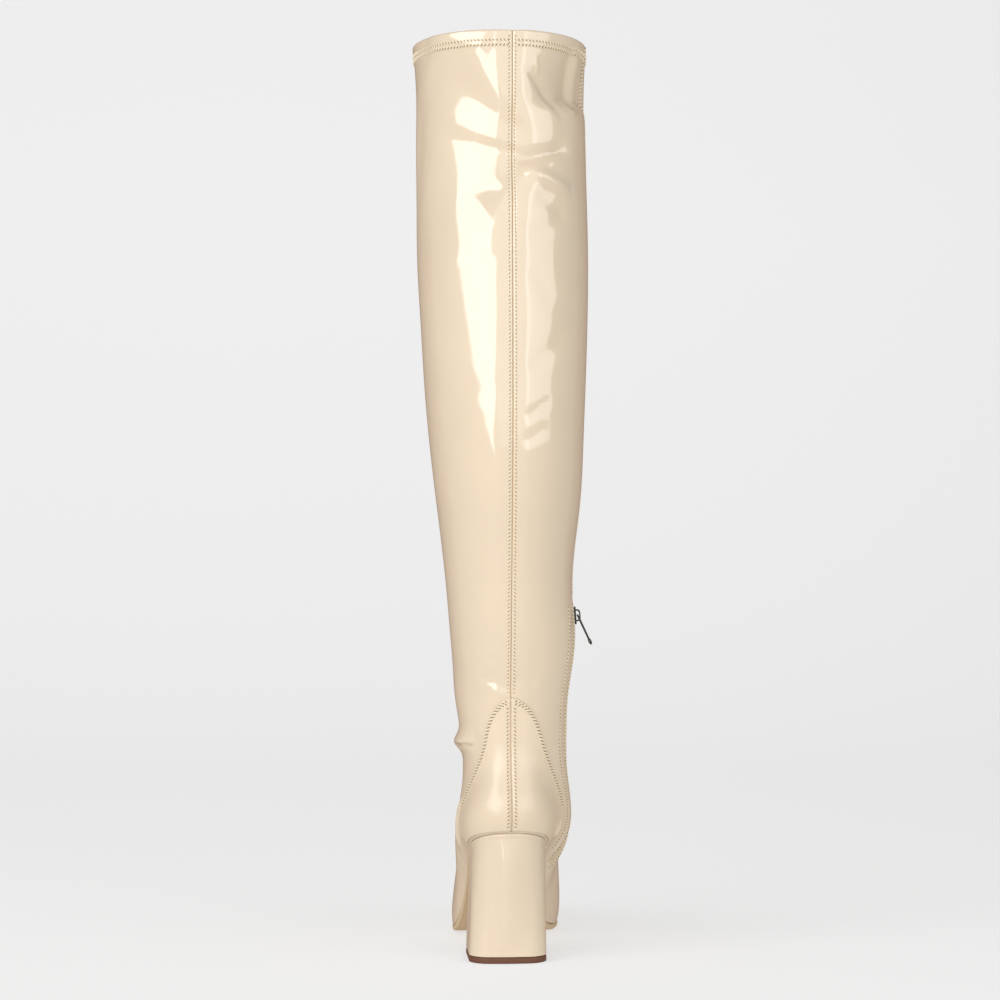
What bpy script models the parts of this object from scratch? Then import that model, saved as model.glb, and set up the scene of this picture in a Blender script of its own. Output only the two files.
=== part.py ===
"""Left over-the-knee boot in stretch patent, with a covered block heel and a short inner zip.

Frame: metres, +Z up, +Y to the toe, +X to the inner side of the foot. The origin is on the floor
under the middle of the heel. Tables and sizes are in millimetres, and MM turns them to metres.

The upper is one surface. A round angle runs from the back seam (0) over the inner side (90) and
the toe (180) to the outer side (270). A level runs from the lasting line (0) to the ankle (1) and
on to the collar (2). Every piece that lies on the upper is cut from this surface.
"""

import math

import bmesh
import bpy
import numpy as np
from mathutils import Matrix

MM = 0.001

# Thicknesses and clearances
WALL = 1.8
HEM_EXTRA = 0.7
HEM_HEIGHT = 11.0
GAP = 0.3
INSOLE_THICK = 2.2
INSOLE_INSET = 3.8
SOLE_FRONT_THICK = 4.2
SOLE_WAIST_THICK = 3.2
SOLE_RIM = 0.2
SOLE_ROLL = 1.4
SOLE_SIDE = 0.4
SOLE_CORNER_SHARE = 0.4
COUNTER_THICK = 1.2

# Sole line along the foot
TREAD_BACK = 131.0
TREAD_FRONT = 166.0
TOE_SPRING = 9.0
WAIST_BLEND = (60.0, 120.0)

# Heel
HEEL_HALF_LENGTH = 24.0
HEEL_HALF_WIDTH = 26.0
HEEL_SHIFT = -1.4
HEEL_BACK_BULGE = 2.6
HEEL_CORNER = 12.0
HEEL_TOP_INSET = 0.8
HEEL_HOLLOW = 1.25
HEEL_ROWS = 8
BREAST_TOP = 19.7
LIFT_THICK = 4.0
LIFT_BEVEL = 0.8
LIFT_FLOOR_SHARE = 0.98

# Counter: furthest angle, height up the back seam and squareness of its arched edge, and the
# angle from which its lower edge climbs away from the lasting line
COUNTER_ANGLE = 47.0
COUNTER_HEIGHT = 91.5
COUNTER_SQUARE = 2.5
COUNTER_CUT_ANGLE = 34.0
COUNTER_CUT_RISE = 20.0
COUNTER_FOOT = 1.5
COUNTER_LIFT = 0.5
COUNTER_SEAM_SHARE = 0.004
COUNTER_FRONT_SHARE = 0.965
COUNTER_COLUMNS = 15
COUNTER_ROWS = 15

# Zip
SLOT_WIDTH = 7.0
ZIP_FOOT = 9.0
ZIP_TOP_Z = 241.0
SLIDER_Z = 231.0
TAPE_WIDTH = 24.0
TAPE_THICK = 0.7
TAPE_LIFT = 0.65
TAPE_FOOT = 3.0
TAPE_HEAD = 4.0
TAPE_MESH = (5, 24)
TEETH_WIDTH = 4.6
TEETH_TOP = -0.2
TEETH_SHORT = 0.9
TEETH_MESH = (3, 30)
PULL_WIDTH = 5.2
PULL_END_WIDTH = 3.6
PULL_THICK = 1.2
PULL_LEAN = 21.0

# Line under the foot, from the back of the heel to the back of the tread: place and height.
ARCH_COLUMNS = ("y", "z")
ARCH = (
    (-30.0, 84.6),
    (-6.0, 77.4),
    (18.0, 68.6),
    (48.0, 51.5),
    (78.0, 27.5),
    (103.0, 8.2),
    (122.0, 0.9),
)

# Lasting line seen from above: a row for each station between the heel and toe points.
HEEL_POINT = (0.0, -28.5)
TOE_POINT = (17.6, 213.0)
OUTLINE_COLUMNS = ("y", "outer", "inner")
OUTLINE = (
    (-22.5, -16.5, 16.5),
    (-6.0, -24.8, 24.8),
    (18.0, -26.0, 26.3),
    (48.0, -25.0, 24.6),
    (78.0, -26.0, 25.4),
    (103.0, -29.0, 32.2),
    (123.0, -31.0, 40.4),
    (143.0, -29.8, 46.0),
    (168.0, -22.8, 45.2),
    (190.0, -9.6, 38.0),
    (206.0, 5.4, 28.2),
)

# Shaft sections: height, half widths to each side of the back seam, back and front places, and
# how far the front of the loop stands above its middle.
SHAFT_COLUMNS = ("z", "outer", "inner", "back", "front", "tilt")
SHAFT = (
    (156.0, 32.0, 41.0, -20.0, 68.0, 9.0),
    (176.0, 35.2, 42.0, -20.5, 67.5, 7.0),
    (196.0, 36.6, 45.0, -22.5, 68.5, 5.0),
    (220.0, 38.6, 46.8, -25.7, 70.2, 3.0),
    (248.0, 41.0, 45.0, -29.2, 72.7, 1.4),
    (308.0, 48.0, 50.4, -37.5, 79.5, 0.0),
    (349.0, 52.8, 52.8, -41.0, 83.5, 0.0),
    (391.0, 56.4, 54.5, -42.0, 86.5, 0.0),
    (432.0, 58.8, 55.9, -41.0, 88.5, 0.0),
    (473.0, 61.0, 56.5, -39.5, 90.5, 0.0),
    (514.0, 61.4, 55.8, -38.5, 92.5, 0.0),
    (556.0, 61.7, 54.6, -37.5, 94.5, 0.0),
    (588.0, 61.6, 54.3, -37.0, 96.0, 0.0),
    (622.0, 63.9, 55.4, -36.8, 98.0, 0.0),
)

# How the foot's wall leaves the lasting line and comes in to the ankle, by round angle: outward
# lean in degrees, reach of the lower curve and reach of the curve below the ankle.
WALL_COLUMNS = ("angle", "lean", "rise", "drop")
FOOT_WALL = (
    (0.0, 30.0, 24.0, 26.0),
    (35.0, 33.0, 30.0, 28.0),
    (65.0, 55.0, 47.0, 38.0),
    (95.0, 24.0, 34.0, 50.0),
    (130.0, 14.0, 25.0, 76.0),
    (180.0, 10.0, 24.0, 96.0),
    (230.0, 11.0, 25.0, 78.0),
    (265.0, 13.0, 32.0, 50.0),
    (295.0, 32.0, 38.0, 38.0),
    (325.0, 27.0, 28.0, 30.0),
)

# Middle line of the zip: level and round angle, from the lasting line to the top of the zip.
ZIP_COLUMNS = ("level", "angle")
ZIP_LINE = (
    (0.0, 62.0),
    (0.5, 70.0),
    (1.0, 80.0),
    (1.3, 84.0),
)

# Mesh rows and columns of the upper, with the powers that crowd the rows towards the sole and ankle
FOOT_ROWS = 16
SHAFT_ROWS = 16
BACK_COLUMNS = 11
FRONT_COLUMNS = 16
OUTER_COLUMNS = 27
FOOT_CROWDING = 1.15
SHAFT_CROWDING = 1.4

# Mesh stations of the sole and insole, which stop a little short of the toe point
ARCH_STATIONS = 17
TREAD_STATIONS = 4
TOE_STATIONS = 11
INSOLE_STATIONS = 31
TOE_SHORT = 0.4

# Steps of angle and level for slopes of the surface
ANGLE_STEP = 0.5
LEVEL_STEP = 0.004


def column(table, names, name):
    """One named column of a table, as an array."""
    return np.array([row[names.index(name)] for row in table])


def spline(knots, values, places):
    """Natural cubic spline through the values at the knots, read at the places."""
    knots = np.asarray(knots, float)
    values = np.asarray(values, float)
    gaps = np.diff(knots)
    slopes = np.diff(values) / gaps
    system = np.eye(len(knots))
    right = np.zeros(len(knots))
    for row in range(1, len(knots) - 1):
        system[row, row - 1:row + 2] = gaps[row - 1], 2 * (gaps[row - 1] + gaps[row]), gaps[row]
        right[row] = 6 * (slopes[row] - slopes[row - 1])
    bends = np.linalg.solve(system, right)
    cell = np.clip(np.searchsorted(knots, places) - 1, 0, len(gaps) - 1)
    width = gaps[cell]
    ahead = (knots[cell + 1] - places) / width
    behind = 1 - ahead
    straight = ahead * values[cell] + behind * values[cell + 1]
    curve = (ahead ** 3 - ahead) * bends[cell] + (behind ** 3 - behind) * bends[cell + 1]
    return straight + curve * width ** 2 / 6


def round_spline(angles, values, places):
    """Spline that closes on itself over a full turn."""
    turns = np.concatenate([np.asarray(angles) + turn for turn in (-360.0, 0.0, 360.0)])
    return spline(turns, np.tile(values, 3), places)


def smooth_step(low, high, places):
    """Zero below low, one above high, and an even curve between."""
    part = np.clip((np.asarray(places, float) - low) / (high - low), 0, 1)
    return part * part * (3 - 2 * part)


def sole_underside(y):
    """Height of the sole's underside: the arch, a flat tread and the toe spring."""
    y = np.asarray(y, float)
    level_ground = TREAD_BACK + np.array((0.0, 9.0, 18.0))
    knots = np.append(column(ARCH, ARCH_COLUMNS, "y"), level_ground)
    heights = np.append(column(ARCH, ARCH_COLUMNS, "z"), np.zeros_like(level_ground))
    arch = np.where(y < TREAD_BACK, np.maximum(spline(knots, heights, y), 0), 0)
    spring = np.clip((y - TREAD_FRONT) / (TOE_POINT[1] - TREAD_FRONT), 0, None)
    return arch + TOE_SPRING * spring ** 2


def sole_thickness(y):
    """Thin at the waist and thicker under the forefoot."""
    return SOLE_WAIST_THICK + (SOLE_FRONT_THICK - SOLE_WAIST_THICK) * smooth_step(*WAIST_BLEND, y)


def lasting_height(y):
    """Height of the upper's lower edge, one clearance above the sole."""
    return sole_underside(y) + sole_thickness(y) + GAP


def lasting_outline(samples=720):
    """Lasting line from above as points for evenly spaced round angles.

    A closed spline runs through the table's stations. On each side the angle is the share of
    that side's length between the heel point and the toe point.
    """
    stations = column(OUTLINE, OUTLINE_COLUMNS, "y")
    inner = np.column_stack((column(OUTLINE, OUTLINE_COLUMNS, "inner"), stations))
    outer = np.column_stack((column(OUTLINE, OUTLINE_COLUMNS, "outer"), stations))
    loop = np.vstack((HEEL_POINT, inner, TOE_POINT, outer[::-1]))
    steps = np.linalg.norm(np.roll(loop, -1, axis=0) - loop, axis=1)
    length = steps.sum()
    knots = 360 * np.concatenate(((0.0,), np.cumsum(steps)[:-1])) / length
    fine = np.linspace(0, 360, 2880, endpoint=False)
    curve = np.column_stack([round_spline(knots, loop[:, axis], fine) for axis in (0, 1)])
    run = np.concatenate(((0.0,), np.cumsum(np.linalg.norm(np.diff(curve, axis=0), axis=1))))
    toe_run = np.interp(knots[len(stations) + 1], fine, run)
    total = run[-1] + np.linalg.norm(curve[0] - curve[-1])
    inner_angle = 180 * run / toe_run
    outer_angle = 180 + 180 * (run - toe_run) / (total - toe_run)
    angle = np.where(run < toe_run, inner_angle, outer_angle)
    even = np.linspace(0, 360, samples, endpoint=False)
    closed = np.append(angle, 360.0)
    points = np.vstack((curve, curve[:1]))
    return even, np.column_stack([np.interp(even, closed, points[:, axis]) for axis in (0, 1)])


OUTLINE_ANGLES, OUTLINE_POINTS = lasting_outline()
TANGENTS = np.roll(OUTLINE_POINTS, -3, axis=0) - np.roll(OUTLINE_POINTS, 3, axis=0)
OUTLINE_NORMALS = np.column_stack((TANGENTS[:, 1], -TANGENTS[:, 0]))
OUTLINE_NORMALS /= np.linalg.norm(OUTLINE_NORMALS, axis=1)[:, None]


def read_outline(values, angle):
    """Values kept for the outline's angles, read at other angles."""
    return np.interp(np.mod(angle, 360), np.append(OUTLINE_ANGLES, 360), np.append(values, values[0]))


def shaft_point(angle, height):
    """Point of the shaft: an ellipse with its own reach to each of its four sides."""
    knots = column(SHAFT, SHAFT_COLUMNS, "z")
    read = {name: spline(knots, column(SHAFT, SHAFT_COLUMNS, name), height)
            for name in SHAFT_COLUMNS[1:]}
    turn = np.radians(angle)
    side = np.where(np.sin(turn) > 0, read["inner"], read["outer"])
    middle = (read["back"] + read["front"]) / 2
    reach = (read["front"] - read["back"]) / 2
    x = side * np.sin(turn)
    y = middle - reach * np.cos(turn)
    z = height - read["tilt"] * np.cos(turn)
    return np.stack((x, y, z), -1)


ANKLE_Z = SHAFT[0][0]
COLLAR_Z = SHAFT[-1][0]


def foot_point(angle, level):
    """Point of the foot: a cubic curve from the lasting line, leaning out, up into the ankle loop."""
    edge_x = read_outline(OUTLINE_POINTS[:, 0], angle)
    edge_y = read_outline(OUTLINE_POINTS[:, 1], angle)
    edge = np.stack((edge_x, edge_y, lasting_height(edge_y)), -1)
    knots = column(FOOT_WALL, WALL_COLUMNS, "angle")
    read = {name: round_spline(knots, column(FOOT_WALL, WALL_COLUMNS, name), np.mod(angle, 360))
            for name in WALL_COLUMNS[1:]}
    lean = np.radians(read["lean"])
    out_x = read_outline(OUTLINE_NORMALS[:, 0], angle) * np.sin(lean)
    out_y = read_outline(OUTLINE_NORMALS[:, 1], angle) * np.sin(lean)
    start = edge + read["rise"][..., None] * np.stack((out_x, out_y, np.cos(lean)), -1)
    ankle = shaft_point(angle, np.full_like(angle, ANKLE_Z))
    upward = shaft_point(angle, np.full_like(angle, ANKLE_Z + 1.0)) - ankle
    upward /= np.linalg.norm(upward, axis=-1)[..., None]
    end = ankle - read["drop"][..., None] * upward
    part = level[..., None]
    rest = 1 - part
    return rest ** 3 * edge + 3 * rest ** 2 * part * start + 3 * rest * part ** 2 * end + part ** 3 * ankle


def surface(angle, level):
    """Point of the upper's outside, in millimetres, for arrays of round angle and level."""
    angle, level = np.broadcast_arrays(np.asarray(angle, float), np.asarray(level, float))
    foot = foot_point(angle, np.clip(level, 0, 1))
    shaft = shaft_point(angle, ANKLE_Z + (COLLAR_Z - ANKLE_Z) * np.clip(level - 1, 0, 1))
    return np.where((level <= 1)[..., None], foot, shaft)


def surface_normal(angle, level):
    """Unit normal of the upper's outside, from differences along both parameters."""
    across = surface(angle + ANGLE_STEP, level) - surface(angle - ANGLE_STEP, level)
    up_step = np.minimum(level + LEVEL_STEP, 2)
    down_step = np.maximum(level - LEVEL_STEP, 0)
    upward = surface(angle, up_step) - surface(angle, down_step)
    normal = np.cross(across, upward)
    return normal / np.linalg.norm(normal, axis=-1)[..., None]


def offset_surface(angle, level, distance):
    """The upper's outside moved along its normal, outward for a positive distance."""
    angle, level = np.broadcast_arrays(np.asarray(angle, float), np.asarray(level, float))
    distance = np.broadcast_to(distance, angle.shape)
    return surface(angle, level) + surface_normal(angle, level) * distance[..., None]


def shaft_level(height):
    """Level of a shaft height."""
    return 1 + (height - ANKLE_Z) / (COLLAR_Z - ANKLE_Z)


def level_above_edge(angle, length):
    """Level reached by walking a length up the surface from the lasting line, at each angle."""
    levels = np.linspace(0, 1.4, 561)
    found = []
    for one_angle, one_length in zip(np.atleast_1d(angle), np.atleast_1d(length)):
        path = surface(np.full_like(levels, one_angle), levels)
        run = np.concatenate(((0.0,), np.cumsum(np.linalg.norm(np.diff(path, axis=0), axis=1))))
        found.append(np.interp(one_length, run, levels))
    return np.array(found)


def zip_angle(level):
    """Round angle of the zip's middle line."""
    knots = column(ZIP_LINE, ZIP_COLUMNS, "level")
    return spline(knots, column(ZIP_LINE, ZIP_COLUMNS, "angle"), np.minimum(level, knots[-1]))


def angle_per_mm(angle, level):
    """Turn of the round angle for a millimetre across the surface."""
    step = surface(angle + ANGLE_STEP, level) - surface(angle - ANGLE_STEP, level)
    return 2 * ANGLE_STEP / np.linalg.norm(step, axis=-1)


ZIP_FOOT_LEVEL = float(level_above_edge(zip_angle(np.array(0.0)), ZIP_FOOT)[0])
ZIP_TOP_LEVEL = shaft_level(ZIP_TOP_Z)
SLIDER_LEVEL = shaft_level(SLIDER_Z)


def material(name, rgb, roughness, metallic=0.0):
    """Principled material with the piece's colour."""
    made = bpy.data.materials.new(name)
    made.use_nodes = True
    shader = made.node_tree.nodes["Principled BSDF"]
    shader.inputs["Base Color"].default_value = (*rgb, 1.0)
    shader.inputs["Roughness"].default_value = roughness
    shader.inputs["Metallic"].default_value = metallic
    return made


def add_object(name, points, faces, finish):
    """Mesh object from points in millimetres, with its faces turned outward."""
    mesh = bpy.data.meshes.new(name)
    mesh.from_pydata([tuple(point) for point in np.asarray(points) * MM], [], faces)
    shape = bmesh.new()
    shape.from_mesh(mesh)
    bmesh.ops.recalc_face_normals(shape, faces=shape.faces)
    shape.to_mesh(mesh)
    shape.free()
    mesh.materials.append(finish)
    mesh.shade_smooth()
    mesh.set_sharp_from_angle(angle=math.radians(35))
    made = bpy.data.objects.new(name, mesh)
    bpy.context.collection.objects.link(made)
    return made


def shell(outside, inside, closed, is_open):
    """Points and faces of a wall between two grids, without the cells that is_open names."""
    rows, columns = outside.shape[:2]
    wide = columns if closed else columns - 1
    points = np.vstack((outside.reshape(-1, 3), inside.reshape(-1, 3)))
    layer = rows * columns

    def corner(row, place, side):
        return side * layer + row * columns + place % columns

    def solid(row, place):
        if closed:
            place %= wide
        return 0 <= row < rows - 1 and 0 <= place < wide and not is_open(row, place)

    faces = []
    for row in range(rows - 1):
        for place in range(wide):
            if not solid(row, place):
                continue
            ring = ((row, place), (row, place + 1), (row + 1, place + 1), (row + 1, place))
            faces.append([corner(*spot, 0) for spot in ring])
            faces.append([corner(*spot, 1) for spot in ring[::-1]])
            beside = ((row - 1, place), (row, place + 1), (row + 1, place), (row, place - 1))
            for index, cell in enumerate(beside):
                if not solid(*cell):
                    start, end = ring[index], ring[(index + 1) % 4]
                    edge = (corner(*start, 0), corner(*start, 1), corner(*end, 1), corner(*end, 0))
                    faces.append(edge)
    used = sorted({index for face in faces for index in face})
    place_of = {index: place for place, index in enumerate(used)}
    return points[used], [[place_of[index] for index in face] for face in faces]


def never_open(row, place):
    """A wall with no cut-out."""
    return False


def crowded(count, at_start, at_end):
    """Steps from 0 to 1 that crowd at one end or both, where the outline turns tightly."""
    even = np.linspace(0, 1, count)
    if at_start and at_end:
        return even / 2 + (1 - np.cos(math.pi * even)) / 4
    if at_start:
        return even / 2 + (1 - np.cos(math.pi * even / 2)) / 2
    return even / 2 + np.sin(math.pi * even / 2) / 2


def make_upper(finish):
    """Hollow upper: the surface, its inner side one wall inward, and the slot of the zip."""
    foot_levels = np.linspace(0, 1, FOOT_ROWS) ** FOOT_CROWDING
    foot_levels[np.argmin(abs(foot_levels - ZIP_FOOT_LEVEL))] = ZIP_FOOT_LEVEL
    spread = np.linspace(0, 1, SHAFT_ROWS) ** SHAFT_CROWDING
    shaft_heights = (ANKLE_Z + (COLLAR_Z - HEM_HEIGHT - ANKLE_Z) * spread)[1:]
    shaft_heights[np.argmin(abs(shaft_heights - ZIP_TOP_Z))] = ZIP_TOP_Z
    shaft_heights = np.append(shaft_heights, (COLLAR_Z - HEM_HEIGHT + 1.0, COLLAR_Z))
    levels = np.concatenate((foot_levels, shaft_level(shaft_heights)))
    middle = zip_angle(levels)
    half_slot = SLOT_WIDTH / 2 * angle_per_mm(middle, levels)
    back = crowded(BACK_COLUMNS + 1, True, False)
    front = crowded(FRONT_COLUMNS + 1, False, True)
    outer = crowded(OUTER_COLUMNS + 1, True, True)[1:-1]
    first = middle - half_slot
    second = middle + half_slot
    angles = np.hstack((
        back * first[:, None],
        second[:, None] + front * (180 - second)[:, None],
        180 + outer * np.full(len(levels), 180.0)[:, None],
    ))
    grid = np.broadcast_to(levels[:, None], angles.shape)
    outside = surface(angles, grid)
    hem = np.where(levels > shaft_level(COLLAR_Z - HEM_HEIGHT + 0.5), HEM_EXTRA, 0.0)
    inside = offset_surface(angles, grid, -(WALL + hem)[:, None])
    # The lower edge is cut level, so its inner side is moved inward in plan alone.
    lean = outside[0] - inside[0]
    flat = np.hypot(lean[:, 0], lean[:, 1])
    inside[0, :, :2] = outside[0, :, :2] - lean[:, :2] * (WALL ** 2 / flat ** 2)[:, None]
    inside[0, :, 2] = lasting_height(inside[0, :, 1])
    inside[-1, :, 2] = outside[-1, :, 2]

    def is_slot(row, place):
        return place == BACK_COLUMNS and ZIP_FOOT_LEVEL <= levels[row] < ZIP_TOP_LEVEL - 1e-6

    return add_object("upper", *shell(outside, inside, True, is_slot), finish)


def make_counter(name, side, finish):
    """Half of the heel counter: the surface between two offsets, under an arched edge.

    The half starts a hair from the back seam and stops short of the angle where the arched
    edge would come down in a point.
    """
    spread = np.sin(np.linspace(0, math.pi / 2, COUNTER_COLUMNS))
    share = COUNTER_SEAM_SHARE + (COUNTER_FRONT_SHARE - COUNTER_SEAM_SHARE) * spread
    angles = side * COUNTER_ANGLE * share
    height = COUNTER_HEIGHT * (1 - share ** COUNTER_SQUARE) ** (1 / COUNTER_SQUARE)
    cut = np.clip((abs(angles) - COUNTER_CUT_ANGLE) / (COUNTER_ANGLE - COUNTER_CUT_ANGLE), 0, 1)
    low = level_above_edge(angles, COUNTER_FOOT + COUNTER_CUT_RISE * cut)
    high = level_above_edge(angles, height)
    levels = low + np.linspace(0, 1, COUNTER_ROWS)[:, None] * (high - low)
    grid = np.broadcast_to(angles, levels.shape)
    outside = offset_surface(grid, levels, COUNTER_LIFT + COUNTER_THICK)
    inside = offset_surface(grid, levels, COUNTER_LIFT)
    return add_object(name, *shell(outside, inside, False, never_open), finish)


def zip_strip(name, width, low, high, bottom, top, mesh_size, finish):
    """Strip along the zip between two offsets of the surface, with a mesh of columns by rows."""
    columns, rows = mesh_size
    fine = np.linspace(bottom, top, 400)
    path = surface(zip_angle(fine), fine)
    run = np.concatenate(((0.0,), np.cumsum(np.linalg.norm(np.diff(path, axis=0), axis=1))))
    levels = np.interp(np.linspace(0, run[-1], rows), run, fine)
    middle = zip_angle(levels)
    reach = np.linspace(-width / 2, width / 2, columns)
    angles = middle[:, None] + reach * angle_per_mm(middle, levels)[:, None]
    grid = np.broadcast_to(levels[:, None], angles.shape)
    outside = offset_surface(angles, grid, high)
    inside = offset_surface(angles, grid, low)
    return add_object(name, *shell(outside, inside, False, never_open), finish)


def make_zip_tape(finish):
    """Tape behind the slot, close inside the wall."""
    high = -(WALL + TAPE_LIFT)
    bottom = float(level_above_edge(zip_angle(np.array(0.0)), ZIP_FOOT - TAPE_FOOT)[0])
    top = shaft_level(ZIP_TOP_Z + TAPE_HEAD)
    return zip_strip("zip_tape", TAPE_WIDTH, high - TAPE_THICK, high, bottom, top, TAPE_MESH, finish)


def make_zip_teeth(finish):
    """Closed coil in the slot, standing on the tape."""
    bottom = float(level_above_edge(zip_angle(np.array(0.0)), ZIP_FOOT + TEETH_SHORT)[0])
    top = shaft_level(ZIP_TOP_Z - TEETH_SHORT)
    return zip_strip("zip_teeth", TEETH_WIDTH, -WALL, TEETH_TOP, bottom, top, TEETH_MESH, finish)


def edge_reader(inset):
    """Outer and inner x of the outline moved inward, as a function of y."""
    points = OUTLINE_POINTS - inset * OUTLINE_NORMALS
    half = len(points) // 2
    inner = points[:half + 1]
    outer = np.vstack((points[half:], points[:1]))[::-1]

    def read(y):
        return np.interp(y, outer[:, 1], outer[:, 0]), np.interp(y, inner[:, 1], inner[:, 0])

    return read, max(inner[0, 1], outer[0, 1]), min(inner[-1, 1], outer[-1, 1])


def make_slab(name, stations, sections, finish):
    """Closed solid from a ring of (x, z) corners at each station along y."""
    corners = len(sections[0])
    points = [(x, y, z) for y, ring in zip(stations, sections) for x, z in ring]
    faces = []
    for row in range(len(stations) - 1):
        for place in range(corners):
            after = (place + 1) % corners
            start = row * corners
            faces.append([start + place, start + after, start + corners + after, start + corners + place])
    last = (len(stations) - 1) * corners
    faces.append(list(range(corners)))
    faces.append([last + place for place in range(corners)])
    return add_object(name, points, faces, finish)


def eased(low, high, count):
    """Stations that crowd towards the high end, where the toe closes."""
    return low + (high - low) * np.sin(np.linspace(0, 1, count) * math.pi / 2)


def make_outsole(finish):
    """Sole from the heel breast to the toe, trimmed close to the upper, with rolled lower edges."""
    read, _, toe = edge_reader(-SOLE_RIM)
    stations = np.concatenate((
        np.linspace(BREAST_TOP + GAP, TREAD_BACK, ARCH_STATIONS)[:-1],
        np.linspace(TREAD_BACK, TREAD_FRONT, TREAD_STATIONS)[:-1],
        eased(TREAD_FRONT, toe - TOE_SHORT, TOE_STATIONS),
    ))
    sections = []
    for y in stations:
        left, right = read(y)
        low = float(sole_underside(y))
        high = float(lasting_height(y)) - GAP
        roll = min(SOLE_ROLL, (right - left) / 5)
        side = min(SOLE_SIDE, (right - left) / 10)
        step = (high - low) * SOLE_CORNER_SHARE
        sections.append((
            (left + side, high), (left, high - step / 2), (left + side, low + step), (left + roll, low),
            (right - roll, low), (right - side, low + step), (right, high - step / 2), (right - side, high),
        ))
    return make_slab("outsole", stations, sections, finish)


def make_insole(finish):
    """Board inside the upper's lower edge, one clearance above sole and heel."""
    read, back, toe = edge_reader(INSOLE_INSET)
    middle = (back + toe) / 2
    fan = np.cos(np.linspace(math.pi, 0, INSOLE_STATIONS))
    stations = middle + ((toe - back) / 2 - TOE_SHORT) * fan
    sections = []
    for y in stations:
        left, right = read(y)
        low = float(lasting_height(y))
        high = low + INSOLE_THICK
        sections.append(((left, low), (right, low), (right, high), (left, high)))
    return make_slab("insole", stations, sections, finish)


def heel_foot_loop():
    """Base of the heel from above: straight breast and sides, round back corners and a bowed back.

    The loop starts at the inner breast corner, goes round the back to the outer corner and has
    the same number of points on both sides.
    """
    turn = np.linspace(0, 90, 8)[1:-1]
    side_y = np.linspace(HEEL_HALF_LENGTH, HEEL_CORNER - HEEL_HALF_LENGTH, 4)
    corner_x = HEEL_HALF_WIDTH - HEEL_CORNER * (1 - np.cos(np.radians(turn)))
    corner_y = HEEL_CORNER - HEEL_HALF_LENGTH - HEEL_CORNER * np.sin(np.radians(turn))
    back_x = np.linspace(HEEL_HALF_WIDTH - HEEL_CORNER, 0, 4)
    x = np.concatenate((np.full(4, HEEL_HALF_WIDTH), corner_x, back_x))
    y = np.concatenate((side_y, corner_y, np.full(4, -HEEL_HALF_LENGTH)))
    bow = HEEL_BACK_BULGE * (x / HEEL_HALF_WIDTH) ** 2 * smooth_step(0, -HEEL_HALF_LENGTH, y)
    inner = np.column_stack((x, y + bow))
    outer = inner[-2::-1] * (-1, 1)
    return np.vstack((inner, outer)) + (HEEL_SHIFT, 0)


def heel_top_loop(count):
    """Top of the heel from above: the lasting line, drawn in a little, as far as the breast."""
    read, back, _ = edge_reader(HEEL_TOP_INSET)
    drop = np.linspace(0, math.pi / 2, count)
    y = back + (BREAST_TOP - back) * (1 - np.sin(drop))
    left, right = read(y)
    inner = np.column_stack((right, y))
    outer = np.column_stack((left, y))[-2::-1]
    inner[-1, 0] = 0.0
    return np.vstack((inner, outer))


def make_heel(finish):
    """Block heel: its base drawn up into the outline of the heel seat, with a hollowed back line."""
    base = heel_foot_loop()
    top = heel_top_loop((len(base) + 1) // 2)
    low = LIFT_THICK + GAP
    rows = []
    for part in np.linspace(0, 1, HEEL_ROWS):
        plan = base + (top - base) * (1 - (1 - part) ** HEEL_HOLLOW)
        height = low + part * (lasting_height(top[:, 1]) - GAP - low)
        rows.append(np.column_stack((plan, height)))
    points = np.vstack(rows)
    count = len(base)
    faces = []
    for row in range(len(rows) - 1):
        for place in range(count):
            after = (place + 1) % count
            start = row * count
            faces.append([start + place, start + after, start + count + after, start + count + place])
    for start in (0, (len(rows) - 1) * count):
        for place in range(count // 2):
            ring = [place, place + 1, count - 2 - place, count - 1 - place]
            faces.append([start + index for index in dict.fromkeys(ring)])
    return add_object("heel", points, faces, finish)


def make_top_lift(finish):
    """Wearing piece under the heel, with a small bevel at the floor."""
    base = heel_foot_loop()
    count = len(base)
    layers = ((0.0, LIFT_FLOOR_SHARE), (LIFT_BEVEL, 1.0), (LIFT_THICK, 1.0))
    points = np.vstack([np.column_stack((base * grow, np.full(count, z))) for z, grow in layers])
    faces = []
    for row in range(len(layers) - 1):
        for place in range(count):
            after = (place + 1) % count
            start = row * count
            faces.append([start + place, start + after, start + count + after, start + count + place])
    faces.append(list(range(count)))
    faces.append([(len(layers) - 1) * count + place for place in range(count)])
    return add_object("top_lift", points, faces, finish)


def slider_frame():
    """Place of the slider on the surface, with x along the zip's width, y up the zip and z outward."""
    level = np.array(SLIDER_LEVEL)
    angle = zip_angle(level)
    spot = surface(angle, level)
    outward = surface_normal(angle, level)
    above = level + LEVEL_STEP
    upward = surface(zip_angle(above), above) - spot
    upward -= outward * (upward @ outward)
    upward /= np.linalg.norm(upward)
    across = np.cross(upward, outward)
    frame = Matrix(np.column_stack((across, upward, outward)).tolist()).to_4x4()
    frame.translation = (spot * MM).tolist()
    return frame


# Slider sizes, in its own frame: z is outward from the upper's surface
PLATE_LOW = 0.5
PLATE_HIGH = 1.6
PLATE_HALF_WIDTH = 4.4
PLATE_HALF_LENGTH = 6.0
BRIDGE_HALF_LENGTH = 4.2
BRIDGE_HALF_WIDTH = 1.1
BRIDGE_UNDER = 3.8
BRIDGE_OVER = 4.7
BRIDGE_BAR = 1.0
BRIDGE_FOOT = 1.2
BRIDGE_SQUARE = 0.6
BRIDGE_POINTS = 13
PIVOT_OUT = 2.7
EYE_LENGTH = 4.6
EYE_BAR = 0.55
EYE_PLAY = 0.45
BEAD_PLACE = 19.6
BEAD_HALF_WIDTH = 2.1
BEAD_HALF_LENGTH = 2.6
BEAD_HALF_THICK = 1.15

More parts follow.
